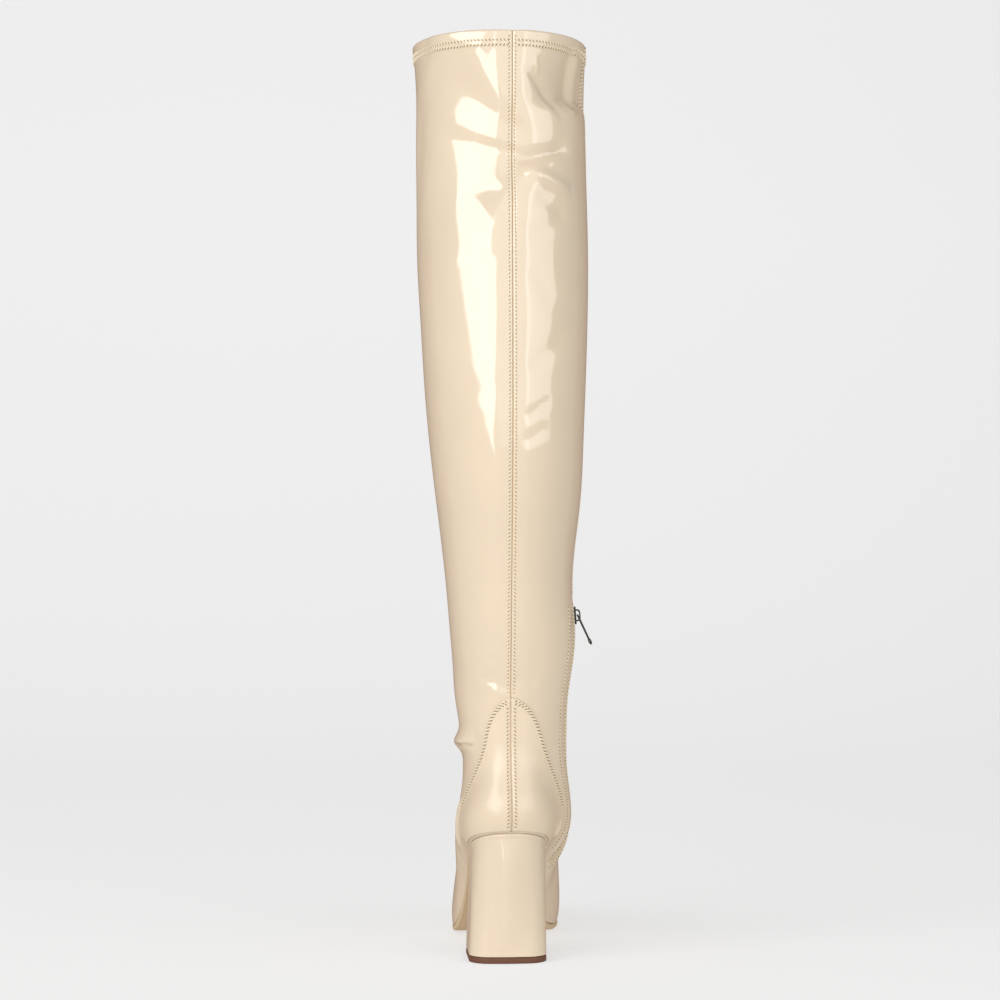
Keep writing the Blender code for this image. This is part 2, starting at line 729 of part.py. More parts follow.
# Half outline of the slider's plate, from its top to its nose: shares of half width and half length
SHIELD = (
    (0.55, 1.0),
    (1.0, 0.55),
    (0.72, -0.75),
    (0.4, -1.0),
)


def prism(outline, low, high, axis):
    """Points and faces of an outline, given in the two other axes, carried along one axis."""
    count = len(outline)
    points = []
    for level in (low, high):
        for pair in outline:
            place = list(pair)
            place.insert(axis, level)
            points.append(place)
    faces = [list(range(count)), list(range(count, 2 * count))]
    for place in range(count):
        after = (place + 1) % count
        faces.append([place, after, count + after, count + place])
    return points, faces


def arch(half, top):
    """Points of the bridge's squared arch, of a half length, from its foot inside the plate to its top."""
    turn = np.linspace(0, math.pi, BRIDGE_POINTS)
    along = half * np.sign(np.cos(turn)) * abs(np.cos(turn)) ** BRIDGE_SQUARE
    out = BRIDGE_FOOT + (top - BRIDGE_FOOT) * abs(np.sin(turn)) ** BRIDGE_SQUARE
    return list(zip(along.tolist(), out.tolist()))


def make_slider(place, finish):
    """Slider: a shield-shaped plate with the bridge that carries the pull tab fused on."""
    side = [(wide * PLATE_HALF_WIDTH, tall * PLATE_HALF_LENGTH) for wide, tall in SHIELD]
    shield = side + [(-wide, tall) for wide, tall in side[::-1]]
    plate = add_object("zip_slider", *prism(shield, PLATE_LOW, PLATE_HIGH, 2), finish)
    outside = arch(BRIDGE_HALF_LENGTH, BRIDGE_OVER)
    inside = arch(BRIDGE_HALF_LENGTH - BRIDGE_BAR, BRIDGE_UNDER)
    ring = outside + inside[::-1]
    bridge = add_object("slider_bridge", *prism(ring, -BRIDGE_HALF_WIDTH, BRIDGE_HALF_WIDTH, 0), finish)
    union = plate.modifiers.new("bridge", "BOOLEAN")
    union.operation = "UNION"
    union.object = bridge
    for shape in (plate, bridge):
        shape.parent = place
    bridge.hide_render = True
    bridge.display_type = "WIRE"
    return plate


def make_pull(pivot, finish):
    """Pull tab: a flat strip with an eye round the bridge and a bead at its end."""
    half = PULL_WIDTH / 2
    narrow = PULL_END_WIDTH / 2
    side = [(half, EYE_BAR), (half, -EYE_LENGTH), (narrow, -BEAD_PLACE)]
    strip = side + [(-x, y) for x, y in side[::-1]]
    tab = add_object("zip_pull", *prism(strip, -PULL_THICK / 2, PULL_THICK / 2, 2), finish)
    eye_half = BRIDGE_HALF_WIDTH + EYE_PLAY
    hole = [(eye_half, -EYE_BAR), (eye_half, -EYE_LENGTH), (-eye_half, -EYE_LENGTH), (-eye_half, -EYE_BAR)]
    eye = add_object("pull_eye", *prism(hole, -PULL_THICK, PULL_THICK, 2), finish)
    bead = bpy.data.meshes.new("pull_bead")
    shape = bmesh.new()
    bmesh.ops.create_uvsphere(shape, u_segments=12, v_segments=7, radius=MM)
    size = (BEAD_HALF_WIDTH, BEAD_HALF_LENGTH, BEAD_HALF_THICK)
    bmesh.ops.scale(shape, vec=size, verts=shape.verts)
    bmesh.ops.translate(shape, vec=(0, -BEAD_PLACE * MM, 0), verts=shape.verts)
    shape.to_mesh(bead)
    shape.free()
    bead.materials.append(finish)
    knob = bpy.data.objects.new("pull_bead", bead)
    bpy.context.collection.objects.link(knob)
    for other, action in ((knob, "UNION"), (eye, "DIFFERENCE")):
        change = tab.modifiers.new(other.name, "BOOLEAN")
        change.operation = action
        change.object = other
        other.hide_render = True
        other.display_type = "WIRE"
        other.parent = pivot
    tab.parent = pivot
    return tab


def empty(name, matrix):
    """Empty that carries pieces at a place."""
    made = bpy.data.objects.new(name, None)
    bpy.context.collection.objects.link(made)
    made.matrix_world = matrix
    return made


def main():
    """Clear the scene and make every piece of the boot."""
    for old in list(bpy.data.objects):
        bpy.data.objects.remove(old)
    patent = material("cream_patent", (0.79, 0.66, 0.49), 0.12)
    counter_patent = material("cream_patent_counter", (0.78, 0.65, 0.48), 0.12)
    heel_patent = material("cream_patent_heel", (0.77, 0.64, 0.47), 0.12)
    sole_resin = material("beige_sole", (0.62, 0.47, 0.33), 0.5)
    lift_rubber = material("brown_rubber", (0.19, 0.075, 0.043), 0.55)
    board = material("insole_lining", (0.7, 0.58, 0.44), 0.7)
    tape = material("cream_tape", (0.72, 0.6, 0.45), 0.8)
    coil = material("cream_coil", (0.7, 0.58, 0.43), 0.4)
    nickel = material("dark_nickel", (0.2, 0.19, 0.18), 0.25, 1.0)
    pull_nickel = material("dark_nickel_pull", (0.2, 0.19, 0.18), 0.25, 1.0)
    make_upper(patent)
    make_counter("counter_inner", 1, counter_patent)
    make_counter("counter_outer", -1, counter_patent)
    make_outsole(sole_resin)
    make_insole(board)
    make_heel(heel_patent)
    make_top_lift(lift_rubber)
    make_zip_tape(tape)
    make_zip_teeth(coil)
    place = slider_frame()
    make_slider(empty("slider_place", place), nickel)
    lean = Matrix.Rotation(math.radians(-PULL_LEAN), 4, "X")
    pivot = place @ Matrix.Translation((0, 0, PIVOT_OUT * MM)) @ lean
    make_pull(empty("pull_pivot", pivot), pull_nickel)
    bpy.context.view_layer.update()


main()
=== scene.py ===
"""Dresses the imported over-the-knee boot for a plain studio view.

Sizes are in millimetres and MM turns them to metres. The frame is the part's own: +Z up, +Y to
the toe, +X to the inner side of this left foot, with the origin on the floor under the heel.
The upper is one surface S(angle, level): the round angle runs from the back seam (0) over the
inner side (90), the toe (180) and the outer side (270), and the level from the lasting line (0)
over the ankle (1) to the collar (2). Every other piece of the upper lies on that surface.
"""

import math

import bpy
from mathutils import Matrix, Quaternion, Vector
import numpy as np


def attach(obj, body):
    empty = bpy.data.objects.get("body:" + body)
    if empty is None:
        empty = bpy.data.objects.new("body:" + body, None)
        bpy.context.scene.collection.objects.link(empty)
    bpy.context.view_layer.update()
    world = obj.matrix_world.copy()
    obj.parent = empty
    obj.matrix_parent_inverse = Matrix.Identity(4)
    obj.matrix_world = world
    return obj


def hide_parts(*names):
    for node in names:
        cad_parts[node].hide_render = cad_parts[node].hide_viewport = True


bl_info = {
    "name": "Over-the-knee boot dressing",
    "version": (1, 0, 0),
    "blender": (4, 5, 0),
    "location": "3D View > Sidebar > Boot",
    "description": "Patent upper, heel, sole, zip and stitching around the packed boot",
    "category": "Object",
}

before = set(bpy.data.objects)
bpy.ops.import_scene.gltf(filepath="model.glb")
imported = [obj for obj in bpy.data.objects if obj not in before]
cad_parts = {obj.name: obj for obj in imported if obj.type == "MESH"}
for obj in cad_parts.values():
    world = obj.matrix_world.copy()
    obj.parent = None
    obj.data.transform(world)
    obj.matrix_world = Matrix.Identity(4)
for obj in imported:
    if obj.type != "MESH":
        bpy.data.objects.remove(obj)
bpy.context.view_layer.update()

MM = 0.001


def columns(names, *rows):
    """Table of rows as named columns, each an array."""
    return {name: np.array(values) for name, values in zip(names.split(), zip(*rows))}


# Thicknesses and clearances, as in the part
WALL = 1.8
HEM_EXTRA = 0.7
HEM_HEIGHT = 11.0
GAP = 0.3
INSOLE_THICK = 2.2
INSOLE_INSET = 3.8
SOLE_FRONT_THICK = 4.2
SOLE_WAIST_THICK = 3.2
SOLE_RIM = 0.2
COUNTER_THICK = 1.2

# Sole line along the foot
TREAD_BACK = 131.0
TREAD_FRONT = 166.0
TOE_SPRING = 9.0
WAIST_BLEND = (60.0, 120.0)

# Heel
HEEL_HALF_LENGTH = 24.0
HEEL_HALF_WIDTH = 26.0
HEEL_SHIFT = -1.4
HEEL_BACK_BULGE = 2.6
HEEL_CORNER = 12.0
HEEL_TOP_INSET = 0.8
HEEL_HOLLOW = 1.25
BREAST_TOP = 19.7
LIFT_THICK = 4.0

# Counter
COUNTER_ANGLE = 47.0
COUNTER_HEIGHT = 91.5
COUNTER_SQUARE = 2.5
COUNTER_CUT_ANGLE = 34.0
COUNTER_CUT_RISE = 20.0
COUNTER_FOOT = 1.5
COUNTER_FRONT_SHARE = 0.965

# Zip
ZIP_FOOT = 9.0
ZIP_TOP_Z = 241.0
TAPE_WIDTH = 24.0
TAPE_THICK = 0.7
TAPE_LIFT = 0.65
TAPE_FOOT = 3.0
TAPE_HEAD = 4.0
TEETH_SHORT = 0.9

# Line under the foot: place and height
ARCH = columns(
    "y z",
    (-30.0, 84.6),
    (-6.0, 77.4),
    (18.0, 68.6),
    (48.0, 51.5),
    (78.0, 27.5),
    (103.0, 8.2),
    (122.0, 0.9),
)

# Lasting line seen from above
HEEL_POINT = (0.0, -28.5)
TOE_POINT = (17.6, 213.0)
OUTLINE = columns(
    "y outer inner",
    (-22.5, -16.5, 16.5),
    (-6.0, -24.8, 24.8),
    (18.0, -26.0, 26.3),
    (48.0, -25.0, 24.6),
    (78.0, -26.0, 25.4),
    (103.0, -29.0, 32.2),
    (123.0, -31.0, 40.4),
    (143.0, -29.8, 46.0),
    (168.0, -22.8, 45.2),
    (190.0, -9.6, 38.0),
    (206.0, 5.4, 28.2),
)

# Shaft sections: height, half widths to each side, back and front places, rise of the front
SHAFT = columns(
    "z outer inner back front tilt",
    (156.0, 32.0, 41.0, -20.0, 68.0, 9.0),
    (176.0, 35.2, 42.0, -20.5, 67.5, 7.0),
    (196.0, 36.6, 45.0, -22.5, 68.5, 5.0),
    (220.0, 38.6, 46.8, -25.7, 70.2, 3.0),
    (248.0, 41.0, 45.0, -29.2, 72.7, 1.4),
    (308.0, 48.0, 50.4, -37.5, 79.5, 0.0),
    (349.0, 52.8, 52.8, -41.0, 83.5, 0.0),
    (391.0, 56.4, 54.5, -42.0, 86.5, 0.0),
    (432.0, 58.8, 55.9, -41.0, 88.5, 0.0),
    (473.0, 61.0, 56.5, -39.5, 90.5, 0.0),
    (514.0, 61.4, 55.8, -38.5, 92.5, 0.0),
    (556.0, 61.7, 54.6, -37.5, 94.5, 0.0),
    (588.0, 61.6, 54.3, -37.0, 96.0, 0.0),
    (622.0, 63.9, 55.4, -36.8, 98.0, 0.0),
)
ANKLE_Z = SHAFT["z"][0]
COLLAR_Z = SHAFT["z"][-1]
SHAFT_RISE = COLLAR_Z - ANKLE_Z

# How the foot's wall leaves the lasting line and comes in to the ankle
FOOT_WALL = columns(
    "angle lean rise drop",
    (0.0, 30.0, 24.0, 26.0),
    (35.0, 33.0, 30.0, 28.0),
    (65.0, 55.0, 47.0, 38.0),
    (95.0, 24.0, 34.0, 50.0),
    (130.0, 14.0, 25.0, 76.0),
    (180.0, 10.0, 24.0, 96.0),
    (230.0, 11.0, 25.0, 78.0),
    (265.0, 13.0, 32.0, 50.0),
    (295.0, 32.0, 38.0, 38.0),
    (325.0, 27.0, 28.0, 30.0),
)

# Middle line of the zip, and of the side seam that runs on from it to the collar
ZIP_LINE = columns(
    "level angle",
    (0.0, 62.0),
    (0.5, 70.0),
    (1.0, 80.0),
    (1.3, 84.0),
)
SIDE_SEAM = columns(
    "z angle",
    (241.0, 84.5),
    (300.0, 90.0),
    (400.0, 96.0),
    (520.0, 92.0),
    (580.0, 82.0),
    (622.0, 76.0),
)

# Creases of the upper: the two ends as round angle and height, the widths left and right of the
# line from start to end, and the depth of the trough (below zero it is a ridge)
CREASES = columns(
    "angle z end_angle end_z left right depth",
    # Fold at the outer ankle, with the sharp line under it
    (238.0, 143.0, 312.0, 146.5, 7.0, 5.6, -5.4),
    (269.0, 142.6, 312.0, 144.0, 1.3, 1.3, 3.4),
    # Slack below the hem, left of the seam
    (300.0, 619.0, 346.0, 612.0, 20.0, 14.0, -2.0),
    (302.0, 600.0, 380.0, 527.5, 24.0, 62.0, 4.6),
    (318.0, 588.5, 378.0, 538.5, 12.0, 58.0, 1.8),
    (304.0, 553.0, 380.0, 533.4, 8.0, 44.0, 2.0),
    (332.0, 547.0, 380.0, 535.0, 5.0, 60.0, 0.9),
    (328.0, 518.0, 354.0, 515.5, 3.5, 9.0, 0.9),
    (342.5, 508.0, 344.0, 470.0, 7.0, 5.0, -0.8),
    # Slack right of the seam
    (12.0, 482.0, 44.0, 500.0, 5.0, 5.0, 0.9),
    (14.0, 462.0, 30.0, 440.0, 6.0, 6.0, 0.8),
    (12.0, 395.0, 42.0, 420.0, 6.0, 6.0, 1.0),
    (7.0, 362.0, 30.0, 376.0, 3.5, 3.5, 0.5),
    (7.0, 346.0, 26.0, 358.0, 3.5, 3.5, 0.45),
    # Pocket and pucker at the knee, right of the seam
    (10.0, 580.0, 88.0, 583.0, 26.0, 7.0, 6.0),
    (58.0, 572.0, 54.0, 618.0, 24.0, 5.0, 4.0),
    (42.0, 564.0, 9.0, 597.0, 2.4, 6.0, 1.6),
    (20.0, 592.0, 17.0, 606.0, 2.2, 2.2, -0.6),
    (46.0, 577.0, 56.0, 571.0, 1.8, 1.8, -1.3),
    (54.0, 572.0, 66.0, 579.0, 1.8, 1.8, -1.3),
    (64.0, 579.0, 80.0, 574.0, 1.8, 1.8, -1.3),
    # Dart-like crease below it
    (5.0, 533.0, 46.0, 544.0, 7.0, 2.0, 3.2),
    (8.0, 530.0, 46.0, 516.0, 4.2, 4.2, -2.0),
    (40.0, 500.0, 16.0, 512.0, 4.0, 8.0, 1.2),
    # Slack above the counter
    (322.0, 192.5, 366.0, 180.0, 6.0, 2.4, 1.0),
    (346.0, 200.0, 334.0, 204.0, 2.4, 2.4, 0.5),
    (4.0, 192.0, 24.0, 184.0, 5.0, 3.0, 0.7),
    # Slivers of light along the counter's front edges
    (304.0, 68.0, 302.5, 108.0, 1.8, 1.8, -1.8),
    (44.0, 92.0, 39.5, 73.0, 1.8, 1.8, -1.6),
)

# Steps of angle and level for slopes of the surface
ANGLE_STEP = 0.5
LEVEL_STEP = 0.004

# Samples of the lasting line and of the spline behind it, and how many its direction spans each way
OUTLINE_SAMPLES = 720
SPLINE_SAMPLES = 2880
TANGENT_SPAN = 3

# Places ahead of the tread's back where the arch's spline is held on the floor
TREAD_KNOTS = (0.0, 9.0, 18.0)

# Levels at which lengths and heights up the surface are looked up, and the least rise between heights
LENGTH_LEVELS = np.linspace(0, 1.4, 561)
HEIGHT_LEVELS = np.linspace(0, 2, 801)
LEAST_RISE = 1e-6


def spline(knots, values, places):
    """Natural cubic spline through the values at the knots, read at the places."""
    knots = np.asarray(knots, float)
    values = np.asarray(values, float)
    gaps = np.diff(knots)
    slopes = np.diff(values) / gaps
    inner = np.arange(1, len(gaps))
    system = np.eye(len(knots))
    system[inner, inner - 1] = gaps[:-1]
    system[inner, inner] = 2 * (gaps[:-1] + gaps[1:])
    system[inner, inner + 1] = gaps[1:]
    right = np.zeros(len(knots))
    right[inner] = 6 * np.diff(slopes)
    bends = np.linalg.solve(system, right)
    cell = np.clip(np.searchsorted(knots, places) - 1, 0, len(gaps) - 1)
    width = gaps[cell]
    ahead = (knots[cell + 1] - places) / width
    behind = 1 - ahead
    straight = ahead * values[cell] + behind * values[cell + 1]
    curve = (ahead ** 3 - ahead) * bends[cell] + (behind ** 3 - behind) * bends[cell + 1]
    return straight + curve * width ** 2 / 6


def round_spline(angles, values, places):
    """Spline that closes on itself over a full turn."""
    turns = np.concatenate([np.asarray(angles) + turn for turn in (-360.0, 0.0, 360.0)])
    return spline(turns, np.tile(values, 3), places)


def smooth_step(low, high, places):
    """Zero below low, one above high, and 3t^2 - 2t^3 between."""
    part = np.clip((np.asarray(places, float) - low) / (high - low), 0, 1)
    return part * part * (3 - 2 * part)


def soft_edge(edge, soft, places):
    """Zero before an edge and one past it, with a smooth step that reaches soft to each side."""
    return smooth_step(edge - soft, edge + soft, places)


def bell(distance, width):
    """Bell curve exp(-(distance / width)^2)."""
    return np.exp(-(distance / width) ** 2)


def unit(vectors):
    """Vectors of length one in the same directions."""
    return vectors / np.linalg.norm(vectors, axis=-1)[..., None]


def matched(angle, level):
    """Round angles and levels as arrays of one shape."""
    return np.broadcast_arrays(np.asarray(angle, float), np.asarray(level, float))


def run_along(points, axis):
    """Length along a path's or a grid's lines from the first point, row or column."""
    steps = np.linalg.norm(np.diff(points, axis=axis), axis=-1)
    start = np.zeros_like(points[..., 0]).take([0], axis)
    return np.concatenate((start, np.cumsum(steps, axis=axis)), axis=axis)


def read_columns(table, places, reader):
    """Every column after the first, read at places along the first by a spline."""
    first, *others = table
    return {name: reader(table[first], table[name], places) for name in others}


def sole_underside(y):
    """Height of the sole's underside: the arch, a flat tread and the toe spring."""
    y = np.asarray(y, float)
    level_ground = TREAD_BACK + np.array(TREAD_KNOTS)
    knots = np.append(ARCH["y"], level_ground)
    heights = np.append(ARCH["z"], np.zeros_like(level_ground))
    arch = np.where(y < TREAD_BACK, np.maximum(spline(knots, heights, y), 0), 0)
    spring = np.clip((y - TREAD_FRONT) / (TOE_POINT[1] - TREAD_FRONT), 0, None)
    return arch + TOE_SPRING * spring ** 2


def sole_thickness(y):
    """Thin at the waist and thicker under the forefoot."""
    return SOLE_WAIST_THICK + (SOLE_FRONT_THICK - SOLE_WAIST_THICK) * smooth_step(*WAIST_BLEND, y)


def lasting_height(y):
    """Height of the upper's lower edge, one clearance above the sole."""
    return sole_underside(y) + sole_thickness(y) + GAP


def lasting_outline():
    """Lasting line from above as points for evenly spaced round angles.

    A closed spline runs through the table's stations. On each side the angle is the share of
    that side's length between the heel point and the toe point.
    """
    stations = OUTLINE["y"]
    inner = np.column_stack((OUTLINE["inner"], stations))
    outer = np.column_stack((OUTLINE["outer"], stations))
    loop = np.vstack((HEEL_POINT, inner, TOE_POINT, outer[::-1]))
    steps = np.linalg.norm(np.roll(loop, -1, axis=0) - loop, axis=1)
    length = steps.sum()
    knots = 360 * np.concatenate(((0.0,), np.cumsum(steps)[:-1])) / length
    fine = np.linspace(0, 360, SPLINE_SAMPLES, endpoint=False)
    curve = np.column_stack([round_spline(knots, loop[:, axis], fine) for axis in (0, 1)])
    run = run_along(curve, 0)
    toe_run = np.interp(knots[len(stations) + 1], fine, run)
    total = run[-1] + np.linalg.norm(curve[0] - curve[-1])
    inner_angle = 180 * run / toe_run
    outer_angle = 180 + 180 * (run - toe_run) / (total - toe_run)
    angle = np.where(run < toe_run, inner_angle, outer_angle)
    even = np.linspace(0, 360, OUTLINE_SAMPLES, endpoint=False)
    closed = np.append(angle, 360.0)
    points = np.vstack((curve, curve[:1]))
    return even, np.column_stack([np.interp(even, closed, points[:, axis]) for axis in (0, 1)])


OUTLINE_ANGLES, OUTLINE_POINTS = lasting_outline()
TANGENTS = np.roll(OUTLINE_POINTS, -TANGENT_SPAN, axis=0) - np.roll(OUTLINE_POINTS, TANGENT_SPAN, axis=0)
OUTLINE_NORMALS = unit(np.column_stack((TANGENTS[:, 1], -TANGENTS[:, 0])))


def read_outline(values, angle):
    """Values kept for the outline's angles, read at other angles."""
    return np.interp(np.mod(angle, 360), np.append(OUTLINE_ANGLES, 360), np.append(values, values[0]))


def shaft_point(angle, height):
    """Point of the shaft: an ellipse with its own reach to each of its four sides."""
    read = read_columns(SHAFT, height, spline)
    turn = np.radians(angle)
    side = np.where(np.sin(turn) > 0, read["inner"], read["outer"])
    middle = (read["back"] + read["front"]) / 2
    reach = (read["front"] - read["back"]) / 2
    x = side * np.sin(turn)
    y = middle - reach * np.cos(turn)
    z = height - read["tilt"] * np.cos(turn)
    return np.stack((x, y, z), -1)


def foot_point(angle, level):
    """Point of the foot: a cubic curve from the lasting line, leaning out, up into the ankle loop."""
    edge_x = read_outline(OUTLINE_POINTS[:, 0], angle)
    edge_y = read_outline(OUTLINE_POINTS[:, 1], angle)
    edge = np.stack((edge_x, edge_y, lasting_height(edge_y)), -1)
    read = read_columns(FOOT_WALL, np.mod(angle, 360), round_spline)
    lean = np.radians(read["lean"])
    out_x = read_outline(OUTLINE_NORMALS[:, 0], angle) * np.sin(lean)
    out_y = read_outline(OUTLINE_NORMALS[:, 1], angle) * np.sin(lean)
    start = edge + read["rise"][..., None] * np.stack((out_x, out_y, np.cos(lean)), -1)
    ankle = shaft_point(angle, np.full_like(angle, ANKLE_Z))
    upward = unit(shaft_point(angle, np.full_like(angle, ANKLE_Z + 1.0)) - ankle)
    end = ankle - read["drop"][..., None] * upward
    part = level[..., None]
    rest = 1 - part
    return rest ** 3 * edge + 3 * rest ** 2 * part * start + 3 * rest * part ** 2 * end + part ** 3 * ankle


def surface(angle, level):
    """Point of the upper's plain outside, in millimetres, for arrays of round angle and level."""
    angle, level = matched(angle, level)
    foot = foot_point(angle, np.clip(level, 0, 1))
    shaft = shaft_point(angle, ANKLE_Z + SHAFT_RISE * np.clip(level - 1, 0, 1))
    return np.where((level <= 1)[..., None], foot, shaft)


def slope_normal(form, angle, level):
    """Unit normal of a form S(angle, level), from differences along both parameters."""
    angle, level = matched(angle, level)
    across = form(angle + ANGLE_STEP, level) - form(angle - ANGLE_STEP, level)
    upward = form(angle, np.minimum(level + LEVEL_STEP, 2)) - form(angle, np.maximum(level - LEVEL_STEP, 0))
    return unit(np.cross(across, upward))


def shaft_level(height):
    """Level of a shaft height."""
    return 1 + (height - ANKLE_Z) / SHAFT_RISE


def angle_per_mm(angle, level):
    """Turn of the round angle for a millimetre across the surface."""
    step = surface(angle + ANGLE_STEP, level) - surface(angle - ANGLE_STEP, level)
    return 2 * ANGLE_STEP / np.linalg.norm(step, axis=-1)


def moved_across(line, level, out):
    """Round angles of a line on the surface, moved across it by millimetres."""
    return line + out * angle_per_mm(line, level)


def distance_from(line, angle, level):
    """Millimetres across the surface between a line of round angles and other angles."""
    return abs(angle - line) / angle_per_mm(line, level)


def read_rows(lengths, runs, values):
    """For each row, the value where a rising run reaches a length, by straight interpolation."""
    cell = np.clip((runs < lengths[:, None]).sum(1), 1, runs.shape[1] - 1)
    row = np.arange(len(lengths))
    low = runs[row, cell - 1]
    part = np.clip((lengths - low) / (runs[row, cell] - low), 0, 1)
    return values[cell - 1] + part * (values[cell] - values[cell - 1])


def level_above_edge(angle, length):
    """Level reached by walking a length up the surface from the lasting line, at each angle."""
    angle, length = np.broadcast_arrays(np.atleast_1d(angle), np.atleast_1d(length))
    runs = run_along(surface(angle[:, None], LENGTH_LEVELS[None, :]), 1)
    return read_rows(length, runs, LENGTH_LEVELS)


def one_level(angle, length):
    """Level reached by walking a length up the surface at one angle, as a plain number."""
    return float(level_above_edge(angle, length)[0])


def level_at_height(angle, height):
    """Level where the surface first reaches a height, at each angle."""
    angle, height = np.broadcast_arrays(np.atleast_1d(angle), np.atleast_1d(height))
    rise = np.maximum.accumulate(surface(angle[:, None], HEIGHT_LEVELS[None, :])[..., 2], axis=1)
    return read_rows(height, rise + LEAST_RISE * np.arange(len(HEIGHT_LEVELS)), HEIGHT_LEVELS)


def zip_angle(level):
    """Round angle of the zip's middle line."""
    return read_columns(ZIP_LINE, np.minimum(level, ZIP_LINE["level"][-1]), spline)["angle"]


def side_seam_angle(level):
    """Round angle of the side seam above the zip."""
    height = ANKLE_Z + SHAFT_RISE * (np.asarray(level) - 1)
    within = np.clip(height, SIDE_SEAM["z"][0], SIDE_SEAM["z"][-1])
    return read_columns(SIDE_SEAM, within, spline)["angle"]


ZIP_FOOT_ANGLE = zip_angle(np.array(0.0))
ZIP_FOOT_LEVEL = one_level(ZIP_FOOT_ANGLE, ZIP_FOOT)
ZIP_TOP_LEVEL = shaft_level(ZIP_TOP_Z)
CREASE_ENDS = [surface(CREASES[around], level_at_height(CREASES[around], CREASES[height]))
               for around, height in (("angle", "z"), ("end_angle", "end_z"))]

# Creases: a place inside the shaft that tells which way is out, how far behind its line a crease
# still acts, and its faded length over the distance between its ends
SHAFT_MIDDLE = np.array((0.0, 25.0, 0.0))
CREASE_REACH = 30.0
CREASE_TAIL = 1.1
# Relief of seams, hem and zip channel: heights, depths and widths, and softness of the zip's ends
# as a share of a level
SEAM_SINK = 0.4
SEAM_FADE = (3.0, 11.0)
SEAM_GROOVE = 0.8
SEAM_GROOVE_WIDTH = 0.6
STITCH_OUT = 2.1
STITCH_DIP = 0.22
STITCH_DIP_WIDTH = 0.55
HEM_RISE = 0.35
HEM_SOFT = 1.5
CHANNEL_DEPTH = 1.45
CHANNEL_HALF = 3.2
CHANNEL_EDGE = 4.3
LIP_RISE = 0.35
LIP_OUT = 0.8
LIP_WIDTH = 1.1
FOOT_SOFT = 0.012
HEAD_SOFT = 0.004
SIDE_GROOVE = 0.5
SIDE_GROOVE_WIDTH = 0.8


def crease_relief(points):
    """Sum of the creases at points of the plain surface.

    Each crease runs between its two ends and fades out a tail beyond them. With d the distance of
    a point from it across the surface, w its width on that side and s the place along it from -1
    to 1, it adds -depth (1 - s^4)^2 exp(-(d/w)^2). Left and right are as seen from outside, from
    start to end.
    """
    total = np.zeros(points.shape[:-1])
    forms = (CREASES[name] for name in ("left", "right", "depth"))
    for start, end, left, right, depth in zip(*CREASE_ENDS, *forms):
        along = end - start
        out = ((start + end) / 2 - SHAFT_MIDDLE) * (1, 1, 0)
        out = out / np.linalg.norm(out)
        side = np.cross(out, along)
        apart = points - start
        place = np.clip((2 * apart @ along / (along @ along) - 1) / CREASE_TAIL, -1, 1)
        across = apart @ side / np.linalg.norm(side)
        near = smooth_step(-CREASE_REACH, -CREASE_REACH / 2, apart @ out)
        width = np.where(across > 0, left, right)
        total -= depth * near * (1 - place ** 4) ** 2 * bell(across, width)
    return total


def hem_share(level):
    """One within the hem's height of the collar and zero below it, with a soft step between."""
    below = (2 - level) * SHAFT_RISE
    return 1 - soft_edge(HEM_HEIGHT, HEM_SOFT, below)


def relief(angle, level, seam=1.0):
    """How far the dressed upper stands out from the plain surface, in millimetres.

    Back seam: a soft hollow drawn in by the thread, with a groove at its middle and dips under the
    two stitch rows, both as deep as the share in seam. Hem: a doubled edge. Zip: a channel with
    rolled lips. Side seam: a groove. And the creases.
    """
    angle, level = matched(angle, level)
    turn = np.mod(angle + 180, 360) - 180
    back = distance_from(np.zeros_like(level), turn, level)
    total = SEAM_SINK * (smooth_step(*SEAM_FADE, back) - 1)
    total -= seam * SEAM_GROOVE * bell(back, SEAM_GROOVE_WIDTH)
    total -= seam * STITCH_DIP * bell(back - STITCH_OUT, STITCH_DIP_WIDTH)
    total += HEM_RISE * hem_share(level)
    across = distance_from(zip_angle(level), turn, level)
    ends = soft_edge(ZIP_FOOT_LEVEL, FOOT_SOFT, level)
    ends = ends * (1 - soft_edge(ZIP_TOP_LEVEL, HEAD_SOFT, level))
    total -= CHANNEL_DEPTH * ends * (1 - smooth_step(CHANNEL_HALF, CHANNEL_EDGE, across))
    total += LIP_RISE * ends * bell(across - CHANNEL_EDGE - LIP_OUT, LIP_WIDTH)
    beside = distance_from(side_seam_angle(level), turn, level)
    above = smooth_step(ZIP_TOP_LEVEL, ZIP_TOP_LEVEL + FOOT_SOFT, level)
    total -= SIDE_GROOVE * above * bell(beside, SIDE_GROOVE_WIDTH)
    return total + crease_relief(surface(angle, level))


def skin(angle, level, lift=0.0, seam=1.0):
    """Point of the dressed upper: the plain surface moved along its normal by relief and lift."""
    angle, level = matched(angle, level)
    out = relief(angle, level, seam) + lift
    return surface(angle, level) + slope_normal(surface, angle, level) * np.asarray(out)[..., None]


def to_linear(code):
    """Linear RGBA of an sRGB hex colour: c/12.92 up to 0.04045, else ((c + 0.055)/1.055)^2.4."""
    part = np.array([int(code[place:place + 2], 16) for place in (1, 3, 5)]) / 255
    line = np.where(part <= 0.04045, part / 12.92, ((part + 0.055) / 1.055) ** 2.4)
    return (*line.tolist(), 1.0)


def shade(colour, share):
    """A linear colour made darker or lighter by a share, with its alpha kept."""
    return (*(min(share * part, 1.0) for part in colour[:3]), 1.0)


def per_size(millimetres):
    """Scale of a noise on Object coordinates whose grain has a size in millimetres."""
    return 1 / (millimetres * MM)


# Radians that a wave texture turns through over one unit of length at a scale of one
WAVE_RATE = 20.0


def per_band(millimetres):
    """Scale of a wave texture on Object coordinates whose bands lie a distance apart."""
    return 2 * math.pi / (WAVE_RATE * millimetres * MM)


